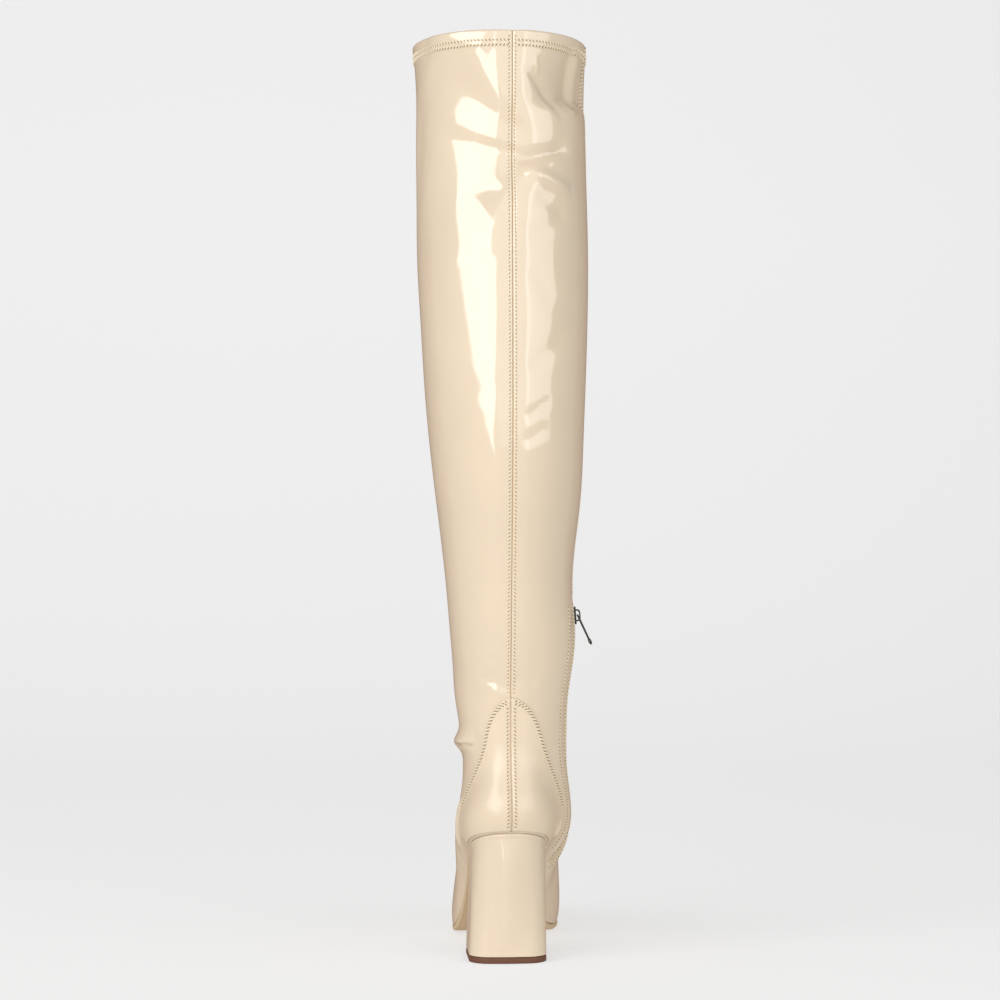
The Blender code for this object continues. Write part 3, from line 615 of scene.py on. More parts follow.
def add_node(tree, kind, values=(), links=(), **settings):
    """Adds a node with its settings, its socket values and the outputs that feed its sockets."""
    node = tree.nodes.new(kind)
    for name, value in settings.items():
        setattr(node, name, value)
    for socket, value in dict(values).items():
        node.inputs[socket].default_value = value
    for socket, source in dict(links).items():
        tree.links.new(source, node.inputs[socket])
    return node


def new_finish(name, sockets):
    """Material with its shader's constant sockets set. Returns it with its tree and shader."""
    made = bpy.data.materials.new(name)
    made.use_nodes = True
    shader = made.node_tree.nodes["Principled BSDF"]
    for socket, value in sockets.items():
        shader.inputs[socket].default_value = value
    return made, made.node_tree, shader


# Sockets of a colour mix: factor, the two colours and the result
FACTOR, FIRST, SECOND, MIXED = 0, 6, 7, 2

# Patterns of the finishes, in millimetres: sizes or spacings, and depths. The last is the draw of the
# polishing streaks, which are long in height
CLOTH_SIZE = 70.0
WAVE_SIZE = 26.0
WAVE_DEPTH = 0.45
PEEL_SIZE = 1.5
PEEL_DEPTH = 0.006
RIB_PITCH = 1.2
RIB_DEPTH = 0.12
PLY_SIZE = 0.4
PLY_DEPTH = 0.05
WEAVE_PITCH = 0.7
WEAVE_DEPTH = 0.15
POLISH_SIZE = 0.6
POLISH_DEPTH = 0.01
POLISH_DRAW = (1.0, 1.0, 0.15)


def patent_finish(name, colour, blur, coat=1.0):
    """Stretch patent: a polyurethane film cast on knitted cloth.

    The film gives the eye a wet clear coat with slow waves about 26 mm long and a faint peel of
    about 1.5 mm. The cloth under it gives a soft cream that varies a little over a hand's width.
    The coat's index starts from 1.5 and is raised until the gloss is as strong as the real one's.
    """
    made, tree, shader = new_finish(name, {
        "Roughness": 0.42, "Specular IOR Level": 0.2, "Coat Weight": coat, "Coat Roughness": blur,
        "Coat IOR": 1.8})
    where = add_node(tree, "ShaderNodeTexCoord").outputs["Object"]
    cloth = add_node(tree, "ShaderNodeTexNoise", {"Scale": per_size(CLOTH_SIZE)}, {"Vector": where})
    body = add_node(tree, "ShaderNodeMix", {FIRST: shade(colour, 0.93), SECOND: shade(colour, 1.05)},
                    {FACTOR: cloth.outputs["Fac"]}, data_type="RGBA")
    waves = add_node(tree, "ShaderNodeTexNoise", {"Scale": per_size(WAVE_SIZE), "Detail": 1.0},
                     {"Vector": where})
    slack = add_node(tree, "ShaderNodeBump", {"Distance": WAVE_DEPTH * MM}, {"Height": waves.outputs["Fac"]})
    peel = add_node(tree, "ShaderNodeTexNoise", {"Scale": per_size(PEEL_SIZE), "Detail": 1.0},
                    {"Vector": where})
    film = add_node(tree, "ShaderNodeBump", {"Distance": PEEL_DEPTH * MM},
                    {"Height": peel.outputs["Fac"], "Normal": slack.outputs["Normal"]})
    tree.links.new(body.outputs[MIXED], shader.inputs["Base Color"])
    tree.links.new(film.outputs["Normal"], shader.inputs["Normal"])
    tree.links.new(film.outputs["Normal"], shader.inputs["Coat Normal"])
    return made


def show_pattern(tree, shader, pattern, dark, light, depth):
    """Lets a pattern mix the base colour from dark to light and raise the surface by a depth."""
    body = add_node(tree, "ShaderNodeMix", {FIRST: dark, SECOND: light}, {FACTOR: pattern}, data_type="RGBA")
    rise = add_node(tree, "ShaderNodeBump", {"Distance": depth * MM}, {"Height": pattern})
    tree.links.new(body.outputs[MIXED], shader.inputs["Base Color"])
    tree.links.new(rise.outputs["Normal"], shader.inputs["Normal"])


def knit_finish(name, colour):
    """Knitted polyester lining, brushed: matte, with ribs 1.2 mm apart, drawn coarse to show."""
    made, tree, shader = new_finish(name, {"Roughness": 0.85, "Sheen Weight": 0.3})
    where = add_node(tree, "ShaderNodeTexCoord").outputs["Object"]
    ribs = add_node(tree, "ShaderNodeTexWave", {"Scale": per_band(RIB_PITCH), "Distortion": 1.5},
                    {"Vector": where}, bands_direction="Z")
    show_pattern(tree, shader, ribs.outputs["Fac"], shade(colour, 0.88), colour, RIB_DEPTH)
    return made


def thread_finish(name, colour):
    """Twisted polyester thread: a soft sheen, with plies that turn about every 0.4 mm."""
    made, tree, shader = new_finish(name, {"Roughness": 0.5, "Sheen Weight": 0.2})
    where = add_node(tree, "ShaderNodeTexCoord").outputs["Object"]
    twist = add_node(tree, "ShaderNodeTexNoise", {"Scale": per_size(PLY_SIZE)}, {"Vector": where})
    show_pattern(tree, shader, twist.outputs["Fac"], shade(colour, 0.8), shade(colour, 1.1), PLY_DEPTH)
    return made


def moulded_finish(name, colour, grain, depth, roughness):
    """Moulded resin, rubber or nylon: dull, with a cast grain of a size and depth in millimetres."""
    made, tree, shader = new_finish(name, {"Roughness": roughness})
    where = add_node(tree, "ShaderNodeTexCoord").outputs["Object"]
    cast = add_node(tree, "ShaderNodeTexNoise", {"Scale": per_size(grain), "Detail": 4.0}, {"Vector": where})
    show_pattern(tree, shader, cast.outputs["Fac"], shade(colour, 0.88), shade(colour, 1.1), depth)
    return made


def woven_finish(name, colour):
    """Woven polyester tape: matte, with threads 0.7 mm apart both ways, drawn coarse to show."""
    made, tree, shader = new_finish(name, {"Roughness": 0.8, "Sheen Weight": 0.2})
    where = add_node(tree, "ShaderNodeTexCoord").outputs["Object"]
    warp, weft = (add_node(tree, "ShaderNodeTexWave", {"Scale": per_band(WEAVE_PITCH)}, {"Vector": where},
                           bands_direction=way) for way in "YZ")
    cross = add_node(tree, "ShaderNodeMath", links={0: warp.outputs["Fac"], 1: weft.outputs["Fac"]},
                     operation="MULTIPLY")
    show_pattern(tree, shader, cross.outputs["Value"], shade(colour, 0.86), shade(colour, 1.06), WEAVE_DEPTH)
    return made


def nickel_finish(name, colour):
    """Dark nickel plated on die-cast zinc: metal, with faint polishing streaks 0.6 mm wide."""
    made, tree, shader = new_finish(name, {"Metallic": 1.0, "Roughness": 0.24})
    where = add_node(tree, "ShaderNodeTexCoord").outputs["Object"]
    drawn = add_node(tree, "ShaderNodeMapping", {"Scale": POLISH_DRAW}, {"Vector": where})
    streaks = add_node(tree, "ShaderNodeTexNoise", {"Scale": per_size(POLISH_SIZE), "Detail": 3.0},
                       {"Vector": drawn.outputs["Vector"]})
    show_pattern(tree, shader, streaks.outputs["Fac"], shade(colour, 0.75), shade(colour, 1.3), POLISH_DEPTH)
    return made


# Angle in degrees past which an edge is drawn sharp
CRISP = 40.0


def new_object(name, points, faces, finishes):
    """Object in the scene with a smooth mesh from points in metres."""
    mesh = bpy.data.meshes.new(name)
    mesh.from_pydata(points.tolist(), [], faces)
    for finish in finishes:
        mesh.materials.append(finish)
    mesh.shade_smooth()
    made = bpy.data.objects.new(name, mesh)
    bpy.context.scene.collection.objects.link(made)
    return made


def add_piece(name, points, faces, finishes, nodes=(), face_finish=None, crisp=CRISP):
    """Mesh piece from points in millimetres. It rides on the boot and may replace CAD nodes."""
    piece = new_object(name, points * MM, faces, finishes)
    if face_finish is not None:
        piece.data.polygons.foreach_set("material_index", np.asarray(face_finish, np.int32))
    piece.data.set_sharp_from_angle(angle=math.radians(crisp))
    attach(piece, "boot")
    if nodes:
        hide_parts(*nodes)


def grid_points(x, y, z):
    """Points of a grid, row by row, from coordinates whose shapes fit one another."""
    return np.stack(np.broadcast_arrays(x, y, z), -1).reshape(-1, 3)


def grid_faces(rows, width, round_rows=False, round_columns=False):
    """Quads of a grid of points, row by row, closed on itself where asked."""
    row = np.arange(rows if round_rows else rows - 1)[:, None]
    place = np.arange(width if round_columns else width - 1)[None, :]
    above = (row + 1) % rows
    after = (place + 1) % width
    corners = (row * width + place, row * width + after, above * width + after, above * width + place)
    return np.stack(np.broadcast_arrays(*corners), -1).reshape(-1, 4)


def slab_faces(rows, width):
    """Quads of a closed slab: an outer grid, the like inner grid and the rim between them."""
    layer = rows * width
    index = np.arange(layer).reshape(rows, width)
    border = np.concatenate((index[0, :-1], index[:-1, -1], index[-1, :0:-1], index[:0:-1, 0]))
    after = np.roll(border, -1)
    rim = np.stack((border, border + layer, after + layer, after), -1)
    top = grid_faces(rows, width)
    return np.vstack((top, top[:, ::-1] + layer, rim))


def tube_faces(rings, corners):
    """Faces of a solid from like rings, one after the other, with its two end rings closed."""
    last = (rings - 1) * corners
    ends = [np.arange(corners)[::-1].tolist(), np.arange(last, last + corners).tolist()]
    return grid_faces(rings, corners, round_columns=True).tolist() + ends


def closing(count):
    """Places from 0 to 1 that lie ever closer, as the sine of even turns up to a right angle."""
    return np.sin(np.linspace(0, math.pi / 2, count))


def growing(count, ratio):
    """Places from 0 to 1 whose steps grow evenly, the last being ratio times the first."""
    steps = ratio ** np.linspace(0, 1, count)
    return np.concatenate(((0.0,), np.cumsum(steps) / steps.sum()))


# Mesh of the dressed upper: columns from the seam to the zip, over the zip, to the toe and back to
# the seam, how much they widen on the way, and how many rows there are between heights of the shaft
BACK_COLUMNS = 60
BACK_WIDEN = 9.0
CHANNEL_COLUMNS = 16
CHANNEL_REACH = 6.8
FRONT_COLUMNS = 44
FRONT_WIDEN = 3.0
OUTER_COLUMNS = 118
OUTER_WIDEN = 11.0
FOOT_ROWS = 84
RIM_HEIGHT = 1.5
ROW_ZONES = ((ANKLE_Z, 252.0, 44), (252.0, 510.0, 76), (510.0, COLLAR_Z - RIM_HEIGHT, 68))
RIM_ROWS = 7
INSIDE_STEP = 3


def upper_levels():
    """Levels of the upper's rows, closest at the ankle and the collar."""
    foot = np.linspace(0, 1, FOOT_ROWS)
    shaft = [shaft_level(np.linspace(low, high, count + 1)[1:]) for low, high, count in ROW_ZONES]
    return np.concatenate((foot, *shaft))


def upper_angles(levels):
    """Round angle of each column at each level: close at the seam and across the zip."""
    middle = zip_angle(levels)
    first = moved_across(middle, levels, -CHANNEL_REACH)[:, None]
    second = moved_across(middle, levels, CHANNEL_REACH)[:, None]
    back = growing(BACK_COLUMNS, BACK_WIDEN)[:-1] * first
    channel = first + np.linspace(0, 1, CHANNEL_COLUMNS + 1)[:-1] * (second - first)
    front = second + growing(FRONT_COLUMNS, FRONT_WIDEN)[:-1] * (180 - second)
    outer = 360 - growing(OUTER_COLUMNS, OUTER_WIDEN)[:0:-1] * np.full_like(first, 180.0)
    return np.hstack((back, channel, front, outer))


def make_upper(patent, lining, edge):
    """Upper: the skin outside, a rolled rim at the collar and the lining inside.

    The rows run up the outside, over the rim in a half circle and down the inside, a wall's
    thickness in from the plain surface and its creases. The last joins the first, so the wall is
    one closed tube.
    """
    levels = upper_levels()
    angles = upper_angles(levels)
    grid = np.broadcast_to(levels[:, None], angles.shape)
    outside = skin(angles, grid)
    keep = np.unique(np.append(np.arange(0, len(levels), INSIDE_STEP), len(levels) - 1))[::-1]
    plain = surface(angles[keep], grid[keep])
    inward = crease_relief(plain) - WALL - HEM_EXTRA * hem_share(grid[keep])
    inside = plain + slope_normal(surface, angles[keep], grid[keep]) * inward[..., None]
    inside[-1, :, 2] = lasting_height(inside[-1, :, 1])
    turn = np.linspace(0, math.pi, RIM_ROWS + 2)[1:-1, None, None]
    middle = (outside[-1] + inside[0]) / 2
    half = (outside[-1] - inside[0]) / 2
    rise = np.linalg.norm(half, axis=-1)[:, None] * (0.0, 0.0, 1.0)
    rim = middle + np.cos(turn) * half + np.sin(turn) * rise
    rows = np.concatenate((outside, rim, inside))
    faces = grid_faces(len(rows), angles.shape[1], True, True)
    row, place = np.divmod(np.arange(len(faces)), angles.shape[1])
    lined = row > len(outside) + RIM_ROWS
    # Faces in the first and last columns, beside the back seam, take the darker seam colour: cut edges and
    # painted shade in the groove
    cut = ~lined & ((place == 0) | (place == angles.shape[1] - 1))
    add_piece("upper_skin", rows.reshape(-1, 3), faces.tolist(), (patent, lining, edge),
              ("upper",), np.where(cut, 2, lined))


# Counter panel: lift over the skin, thickness of its edge, roll of its edges and mesh
PANEL_LIFT = 0.1
PANEL_EDGE = 0.25
PANEL_ROLL = 1.1
PANEL_SEAM_ROLL = 0.06
PANEL_SEAM_SHARE = 0.0008
PANEL_COLUMNS = 60
PANEL_ROWS = 84
PANEL_CRISP = 70.0


def counter_height(share, inset=0.0):
    """Length of the counter up from the lasting line, at a share of its angle: a squared arch."""
    return (COUNTER_HEIGHT - inset) * (1 - share ** COUNTER_SQUARE) ** (1 / COUNTER_SQUARE)


def counter_foot(angles):
    """Length from the lasting line to the counter's lower edge, which climbs towards the front."""
    cut = np.clip((abs(angles) - COUNTER_CUT_ANGLE) / (COUNTER_ANGLE - COUNTER_CUT_ANGLE), 0, 1)
    return COUNTER_FOOT + COUNTER_CUT_RISE * cut


def make_counter(name, node, side, patent):
    """Half of the heel counter: a panel on the skin whose edges roll down as a quarter circle."""
    share = PANEL_SEAM_SHARE + (COUNTER_FRONT_SHARE - PANEL_SEAM_SHARE) * closing(PANEL_COLUMNS)
    angles = side * COUNTER_ANGLE * share
    low = level_above_edge(angles, counter_foot(angles))
    high = level_above_edge(angles, counter_height(share))
    rise = (1 - np.cos(np.linspace(0, math.pi, PANEL_ROWS))) / 2
    levels = low + rise[:, None] * (high - low)
    grid = np.broadcast_to(angles, levels.shape)
    under = skin(grid, levels, PANEL_LIFT, seam=0.0)
    up = run_along(under, 0)
    along = run_along(under, 1)
    seam_side = along * PANEL_ROLL / PANEL_SEAM_ROLL
    edge = np.minimum(np.minimum(up, up[-1] - up), np.minimum(seam_side, along[:, -1:] - along))
    roll = np.sqrt(1 - (1 - np.clip(edge / PANEL_ROLL, 0, 1)) ** 2)
    over = skin(grid, levels, PANEL_LIFT + PANEL_EDGE + (COUNTER_THICK - PANEL_EDGE) * roll, seam=0.0)
    faces = slab_faces(*levels.shape)[:, ::side]
    add_piece(name, np.vstack((over.reshape(-1, 3), under.reshape(-1, 3))), faces.tolist(), (patent,),
              (node,), crisp=PANEL_CRISP)


def edge_reader(inset):
    """Outer and inner x of the outline moved inward, as a function of y, with its two ends."""
    points = OUTLINE_POINTS - inset * OUTLINE_NORMALS
    half = len(points) // 2
    inner = points[:half + 1]
    outer = np.vstack((points[half:], points[:1]))[::-1]

    def read(y):
        return np.interp(y, outer[:, 1], outer[:, 0]), np.interp(y, inner[:, 1], inner[:, 0])

    return read, max(inner[0, 1], outer[0, 1]), min(inner[-1, 1], outer[-1, 1])


# Outsole edge, from its top inward edge round to its underside: inset and share of the thickness
SOLE_EDGE = columns(
    "inset share",
    (1.8, 1.0),
    (0.5, 0.9),
    (0.0, 0.74),
    (0.0, 0.5),
    (0.15, 0.3),
    (0.5, 0.14),
    (1.0, 0.04),
    (1.7, 0.0),
)
# Outsole: stations along it and how even they are, points across the underside, gap to the toe point
# of the outline, width from which the edge is full, and points of the edge that are painted
SOLE_STATIONS = 130
SOLE_EVEN_SHARE = 0.25
UNDER_POINTS = 9
TOE_SHORT = 0.4
FULL_EDGE_WIDTH = 8.0
PAINTED_POINTS = 6


def make_outsole(painted, tread):
    """Outsole: the edge's profile on both sides, carried along the foot from the breast to the toe."""
    read, _, toe = edge_reader(-SOLE_RIM)
    part = np.linspace(0, 1, SOLE_STATIONS)
    start = BREAST_TOP + GAP
    eased = (1 - SOLE_EVEN_SHARE) * np.sin(part * math.pi / 2) + SOLE_EVEN_SHARE * part
    y = start + (toe - TOE_SHORT - start) * eased
    left, right = read(y)
    low = sole_underside(y)
    thick = lasting_height(y) - GAP - low
    narrow = np.minimum(1, (right - left) / FULL_EDGE_WIDTH)[:, None]
    inset = SOLE_EDGE["inset"] * narrow
    edge_z = low[:, None] + SOLE_EDGE["share"] * thick[:, None]
    inner_x = right[:, None] - inset
    outer_x = left[:, None] + inset[:, ::-1]
    across = np.linspace(0, 1, UNDER_POINTS + 2)[1:-1]
    under_x = inner_x[:, -1:] + across * (outer_x[:, :1] - inner_x[:, -1:])
    x = np.hstack((inner_x, under_x, outer_x))
    z = np.hstack((edge_z, np.broadcast_to(low[:, None], under_x.shape), edge_z[:, ::-1]))
    points = grid_points(x, y[:, None], z)
    place = np.arange(len(x) * x.shape[1] + 2 - x.shape[1]) % x.shape[1]
    below = (place >= PAINTED_POINTS) & (place < x.shape[1] - PAINTED_POINTS - 1)
    add_piece("outsole_trimmed", points, tube_faces(*x.shape), (painted, tread),
              ("outsole",), below)


# Sock lining: mesh, roll of its upper edges, and width over roll where it is narrow
SOCK_STATIONS = 90
SOCK_POINTS = 9
SOCK_ROLL = 0.5
SOCK_NARROW = 10.0


def make_insole(sock):
    """Sock lining on its board: a slab with rolled upper edges, along the lasting line."""
    read, back, toe = edge_reader(INSOLE_INSET)
    fan = np.cos(np.linspace(math.pi, 0, SOCK_STATIONS))
    y = (back + toe) / 2 + ((toe - back) / 2 - TOE_SHORT) * fan
    left, right = (x[:, None] for x in read(y))
    low = lasting_height(y)[:, None]
    roll = np.minimum(SOCK_ROLL, (right - left) / SOCK_NARROW)
    top_x = left + roll + np.linspace(0, 1, SOCK_POINTS) * (right - left - 2 * roll)
    top_z = np.broadcast_to(low + INSOLE_THICK, top_x.shape)
    side_z = low + INSOLE_THICK - SOCK_ROLL
    x = np.hstack((left, left, top_x, right, right))
    z = np.hstack((low, side_z, top_z, side_z, low))
    points = grid_points(x, y[:, None], z)
    add_piece("sock_lining", points, tube_faces(*x.shape), (sock,), ("insole",))


# Heel: mesh, roll of the cover at its top, and round of its lower edge and of the lift's edges
HEEL_POINTS = 24
HEEL_ROWS = 46
EDGE_ROWS = 8
EDGE_WIDEN = 4.0
FOOT_SHARE = 0.04
HEAD_SHARE = 0.06
HEEL_ROLL = 0.55
HEEL_ROLL_HEIGHT = 2.2
HEEL_TUCK = 0.6
HEEL_ROUND = 0.7
LIFT_ROUND = 0.6
LIFT_ROUND_ROWS = 5
# Low crown down the back of the heel that gathers a streak of light: height, place, widths, fade
STREAK_RISE = 1.8
STREAK_X = -4.5
STREAK_LEFT = 4.0
STREAK_RIGHT = 11.0
STREAK_FADE = 24.0


def heel_foot_loop():
    """Base of the heel from above: straight breast and sides, round back corners, a bowed back."""
    count = HEEL_POINTS
    turn = np.radians(np.linspace(0, 90, count + 2)[1:-1])
    side_y = np.linspace(HEEL_HALF_LENGTH, HEEL_CORNER - HEEL_HALF_LENGTH, count)
    corner_x = HEEL_HALF_WIDTH - HEEL_CORNER * (1 - np.cos(turn))
    corner_y = HEEL_CORNER - HEEL_HALF_LENGTH - HEEL_CORNER * np.sin(turn)
    back_x = np.linspace(HEEL_HALF_WIDTH - HEEL_CORNER, 0, count)
    x = np.concatenate((np.full(count, HEEL_HALF_WIDTH), corner_x, back_x))
    y = np.concatenate((side_y, corner_y, np.full(count, -HEEL_HALF_LENGTH)))
    bow = HEEL_BACK_BULGE * (x / HEEL_HALF_WIDTH) ** 2 * smooth_step(0, -HEEL_HALF_LENGTH, y)
    inner = np.column_stack((x, y + bow))
    return np.vstack((inner, inner[-2::-1] * (-1, 1))) + (HEEL_SHIFT, 0)


def heel_top_loop(count):
    """Top of the heel from above: the lasting line, drawn in a little, as far as the breast."""
    read, back, _ = edge_reader(HEEL_TOP_INSET)
    y = back + (BREAST_TOP - back) * (1 - closing(count))
    left, right = read(y)
    inner = np.column_stack((right, y))
    inner[-1, 0] = 0.0
    return np.vstack((inner, np.column_stack((left, y))[-2::-1]))


def loop_outward(loops):
    """Unit vectors out of loops in plan that run from the breast's inner end round the back."""
    along = np.gradient(loops, axis=-2)
    return unit(np.stack((-along[..., 1], along[..., 0]), -1))


def stacked_faces(levels, count):
    """Faces of a solid from like loops, one above the other, closed below and above by strips."""
    half = count // 2
    place = np.arange(half - 1)
    strip = np.stack((place, place + 1, count - 2 - place, count - 1 - place), -1)
    tip = [half - 1, half, half + 1]
    last = (levels - 1) * count
    walls = grid_faces(levels, count, round_columns=True)[:, ::-1]
    quads = np.vstack((walls, strip, strip[:, ::-1] + last)).tolist()
    return quads + [tip, [last + corner for corner in tip[::-1]]]


def make_heel(patent):
    """Covered block heel: its base drawn up into the heel seat, with a rolled cover at the top.

    A row at a share s of the height is base + (top - base) (1 - (1 - s)^hollow), moved out by the
    roll below the seat and the crown at the back, and in by the round of the lower edge.
    """
    base = heel_foot_loop()
    top = heel_top_loop((len(base) + 1) // 2)
    low = LIFT_THICK + GAP
    seat = lasting_height(top[:, 1]) - GAP
    part = np.concatenate((growing(EDGE_ROWS, EDGE_WIDEN) * FOOT_SHARE,
                           np.linspace(FOOT_SHARE, 1 - HEAD_SHARE, HEEL_ROWS)[1:-1],
                           1 - growing(EDGE_ROWS, EDGE_WIDEN)[::-1] * HEAD_SHARE))[:, None]
    plan = base + (top - base) * (1 - (1 - part) ** HEEL_HOLLOW)[..., None]
    height = low + part * (seat - low)
    down = seat - height
    roll = HEEL_ROLL * (bell(down - HEEL_ROLL_HEIGHT / 2, HEEL_ROLL_HEIGHT / 2) - bell(down, HEEL_TUCK))
    edge = np.clip((height - low) / HEEL_ROUND, 0, 1)
    roll = roll - HEEL_ROUND * (1 - np.sqrt(1 - (1 - edge) ** 2))
    beside = plan[..., 0] - STREAK_X
    streak = bell(beside, np.where(beside < 0, STREAK_LEFT, STREAK_RIGHT)) * (plan[..., 1] < 0)
    streak = STREAK_RISE * streak * smooth_step(0, STREAK_FADE, height - low)
    roll = roll + streak * smooth_step(0, STREAK_FADE, down)
    plan = plan + loop_outward(plan) * roll[..., None]
    points = np.concatenate((plan, height[..., None]), -1)
    add_piece("heel_covered", points.reshape(-1, 3), stacked_faces(*height.shape), (patent,),
              ("heel",))


def make_top_lift(rubber):
    """Top lift: the heel's base in layers, with its lower and upper edges rounded."""
    base = heel_foot_loop()
    turn = np.linspace(0, math.pi / 2, LIFT_ROUND_ROWS)
    rise = LIFT_ROUND * (1 - np.cos(turn))
    inset = LIFT_ROUND * (1 - np.sin(turn))
    height = np.concatenate((rise, LIFT_THICK - rise[::-1]))
    inset = np.concatenate((inset, inset[::-1]))
    plan = base - loop_outward(base) * inset[:, None, None]
    tall = np.broadcast_to(height[:, None], plan.shape[:2])
    points = np.concatenate((plan, tall[..., None]), -1)
    add_piece("top_lift_moulded", points.reshape(-1, 3), stacked_faces(*tall.shape), (rubber,),
              ("top_lift",))


# A stitch or a coil loop of unit length and unit radius: place along it and radius of its rings
CAPSULE = columns(
    "place radius",
    (-0.5, 0.3),
    (-0.42, 0.75),
    (-0.2, 1.0),
    (0.2, 1.0),
    (0.42, 0.75),
    (0.5, 0.3),
)
CAPSULE_SIDES = 6


def lay_capsules(centres, along, normal, length, radius, first=0):
    """Capsules at centres, along a direction on the surface.

    Returns their points, and their faces with the points counted on from first.
    """
    turn = np.linspace(0, 2 * math.pi, CAPSULE_SIDES, endpoint=False)
    rings = CAPSULE["radius"][:, None] * radius
    lengthwise = np.repeat(CAPSULE["place"], CAPSULE_SIDES) * length
    sideways = (rings * np.cos(turn)).ravel()
    outward = (rings * np.sin(turn)).ravel()
    across = np.cross(normal, along)
    points = (centres[:, None] + lengthwise[:, None] * along[:, None] + sideways[:, None] * across[:, None]
              + outward[:, None] * normal[:, None])
    starts = first + np.arange(len(centres)) * len(sideways)
    form = tube_faces(len(rings), CAPSULE_SIDES)
    walls = (np.array(form[:-2])[None] + starts[:, None, None]).reshape(-1, 4).tolist()
    ends = (np.array(form[-2:])[None] + starts[:, None, None]).reshape(-1, CAPSULE_SIDES).tolist()
    return points.reshape(-1, 3), walls + ends


def slanted(along, normal, slant):
    """Directions turned within the surface by a slant in degrees."""
    turn = math.radians(slant)
    return along * math.cos(turn) + np.cross(normal, along) * math.sin(turn)


def even_places(angles, levels, pitch, lift, seam=1.0):
    """Places every pitch along a path on the skin: points, directions along it, outward normals."""
    path = skin(angles, levels, lift, seam)
    run = run_along(path, 0)
    spots = (np.arange(int(run[-1] / pitch)) + 0.5) * pitch
    points = np.column_stack([np.interp(spots, run, axis) for axis in path.T])
    steps = np.gradient(path, axis=0)
    along = unit(np.column_stack([np.interp(spots, run, axis) for axis in steps.T]))
    normal = slope_normal(surface, np.interp(spots, run, angles), np.interp(spots, run, levels))
    return points, along, normal


# Stitching: lift of the thread and of the needle slits between stitches, slit size, slant, distances
# of the rows from the edge, the zip or the seam they hold, ends of the rows, points of their paths,
# and level at which the counter's insets are measured
THREAD_LIFT = 0.2
SLIT_LIFT = -0.3
SLIT_LENGTH = 0.75
SLIT_RADIUS = 0.9
STITCH_SLANT = 38.0
HEM_SLANT = 58.0
HEM_ROWS = ((7.2, -1), (10.4, 1))
COUNTER_ROWS = (1.7, 3.6)
COUNTER_ROW_SHARES = (0.03, 0.96)
ZIP_ROWS = (-17.0, -6.0, 6.0, 11.5)
SIDE_ROW = 2.0
PANEL_SEAM_OUT = 2.4
ROW_END = 2.0
PATH_POINTS = 900
ARCH_POINTS = 300
ARCH_LEVEL = 0.5
# What a row lies on: its lift over the skin and the share of the seam's relief there
ON_SKIN = (0.0, 1.0)
ON_PANEL = (PANEL_LIFT + COUNTER_THICK, 0.0)


def add_stitches(name, rows, sizes, thread, slit):
    """Piece of stitches with dark capsules between them as painted shade in the needle slits, from rows on
    the skin.

    A row holds its angles and levels, the lift and seam share of the skin it lies on and a slant.
    """
    pitch = sizes.stitch_pitch / MM
    radius = sizes.thread_radius / MM
    lengths = (sizes.stitch_length / MM, sizes.stitch_length * SLIT_LENGTH / MM)
    radii = (radius, radius * SLIT_RADIUS)
    points = []
    faces = []
    finish = []
    count = 0
    for angles, levels, lift, seam, slant in rows:
        spots, along, normal = even_places(angles, levels, pitch, lift, seam)
        way = slanted(along, normal, slant)
        sewn = spots + normal * THREAD_LIFT
        # Dark capsules sunk a little between the stitches, painted shade in the needle slits
        between = spots + along * pitch / 2 + normal * SLIT_LIFT * radius
        for kind, centres in enumerate((sewn, between)):
            made, corners = lay_capsules(centres, way, normal, lengths[kind], radii[kind], count)
            points.append(made)
            faces += corners
            finish += [kind] * len(corners)
            count += len(made)
    add_piece(name, np.vstack(points), faces, (thread, slit), face_finish=finish)


def seam_rows():
    """Two rows down the back seam, and on down the counter to the heel."""
    top = one_level(0.0, COUNTER_HEIGHT)
    foot = one_level(0.0, COUNTER_FOOT + ROW_END / 2)
    gap = ROW_END / SHAFT_RISE
    shaft = np.linspace(shaft_level(COLLAR_Z - ROW_END), top + gap, PATH_POINTS)
    panel = np.linspace(top - 2 * gap, foot, PATH_POINTS)
    middle = np.zeros(PATH_POINTS)
    rows = []
    for side in (-1, 1):
        angles = moved_across(middle, shaft, side * STITCH_OUT)
        rows.append((angles, shaft, *ON_SKIN, side * STITCH_SLANT))
        angles = moved_across(middle, panel, side * PANEL_SEAM_OUT)
        rows.append((angles, panel, *ON_PANEL, side * STITCH_SLANT))
    return rows


def hem_rows():
    """Two rows round the collar's hem, from one side of the seam to the other."""
    angles = np.linspace(ROW_END, 360 - ROW_END, PATH_POINTS)
    return [(angles, np.full_like(angles, shaft_level(COLLAR_Z - down)), *ON_SKIN, lean * HEM_SLANT)
            for down, lean in HEM_ROWS]


def counter_rows():
    """Two rows inside the arched edge of each half of the counter."""
    first, last = COUNTER_ROW_SHARES
    share = first + (last - first) * closing(ARCH_POINTS)
    rows = []
    for side in (-1, 1):
        for inset in COUNTER_ROWS:
            per_mm = float(angle_per_mm(np.array(COUNTER_ANGLE), np.array(ARCH_LEVEL)))
            reach = COUNTER_ANGLE - inset * per_mm
            angles = side * reach * share
            height = counter_height(share, inset)
            fits = height > counter_foot(angles) + inset
            levels = level_above_edge(angles[fits], height[fits])
            rows.append((angles[fits], levels, *ON_PANEL, side * STITCH_SLANT))
    return rows


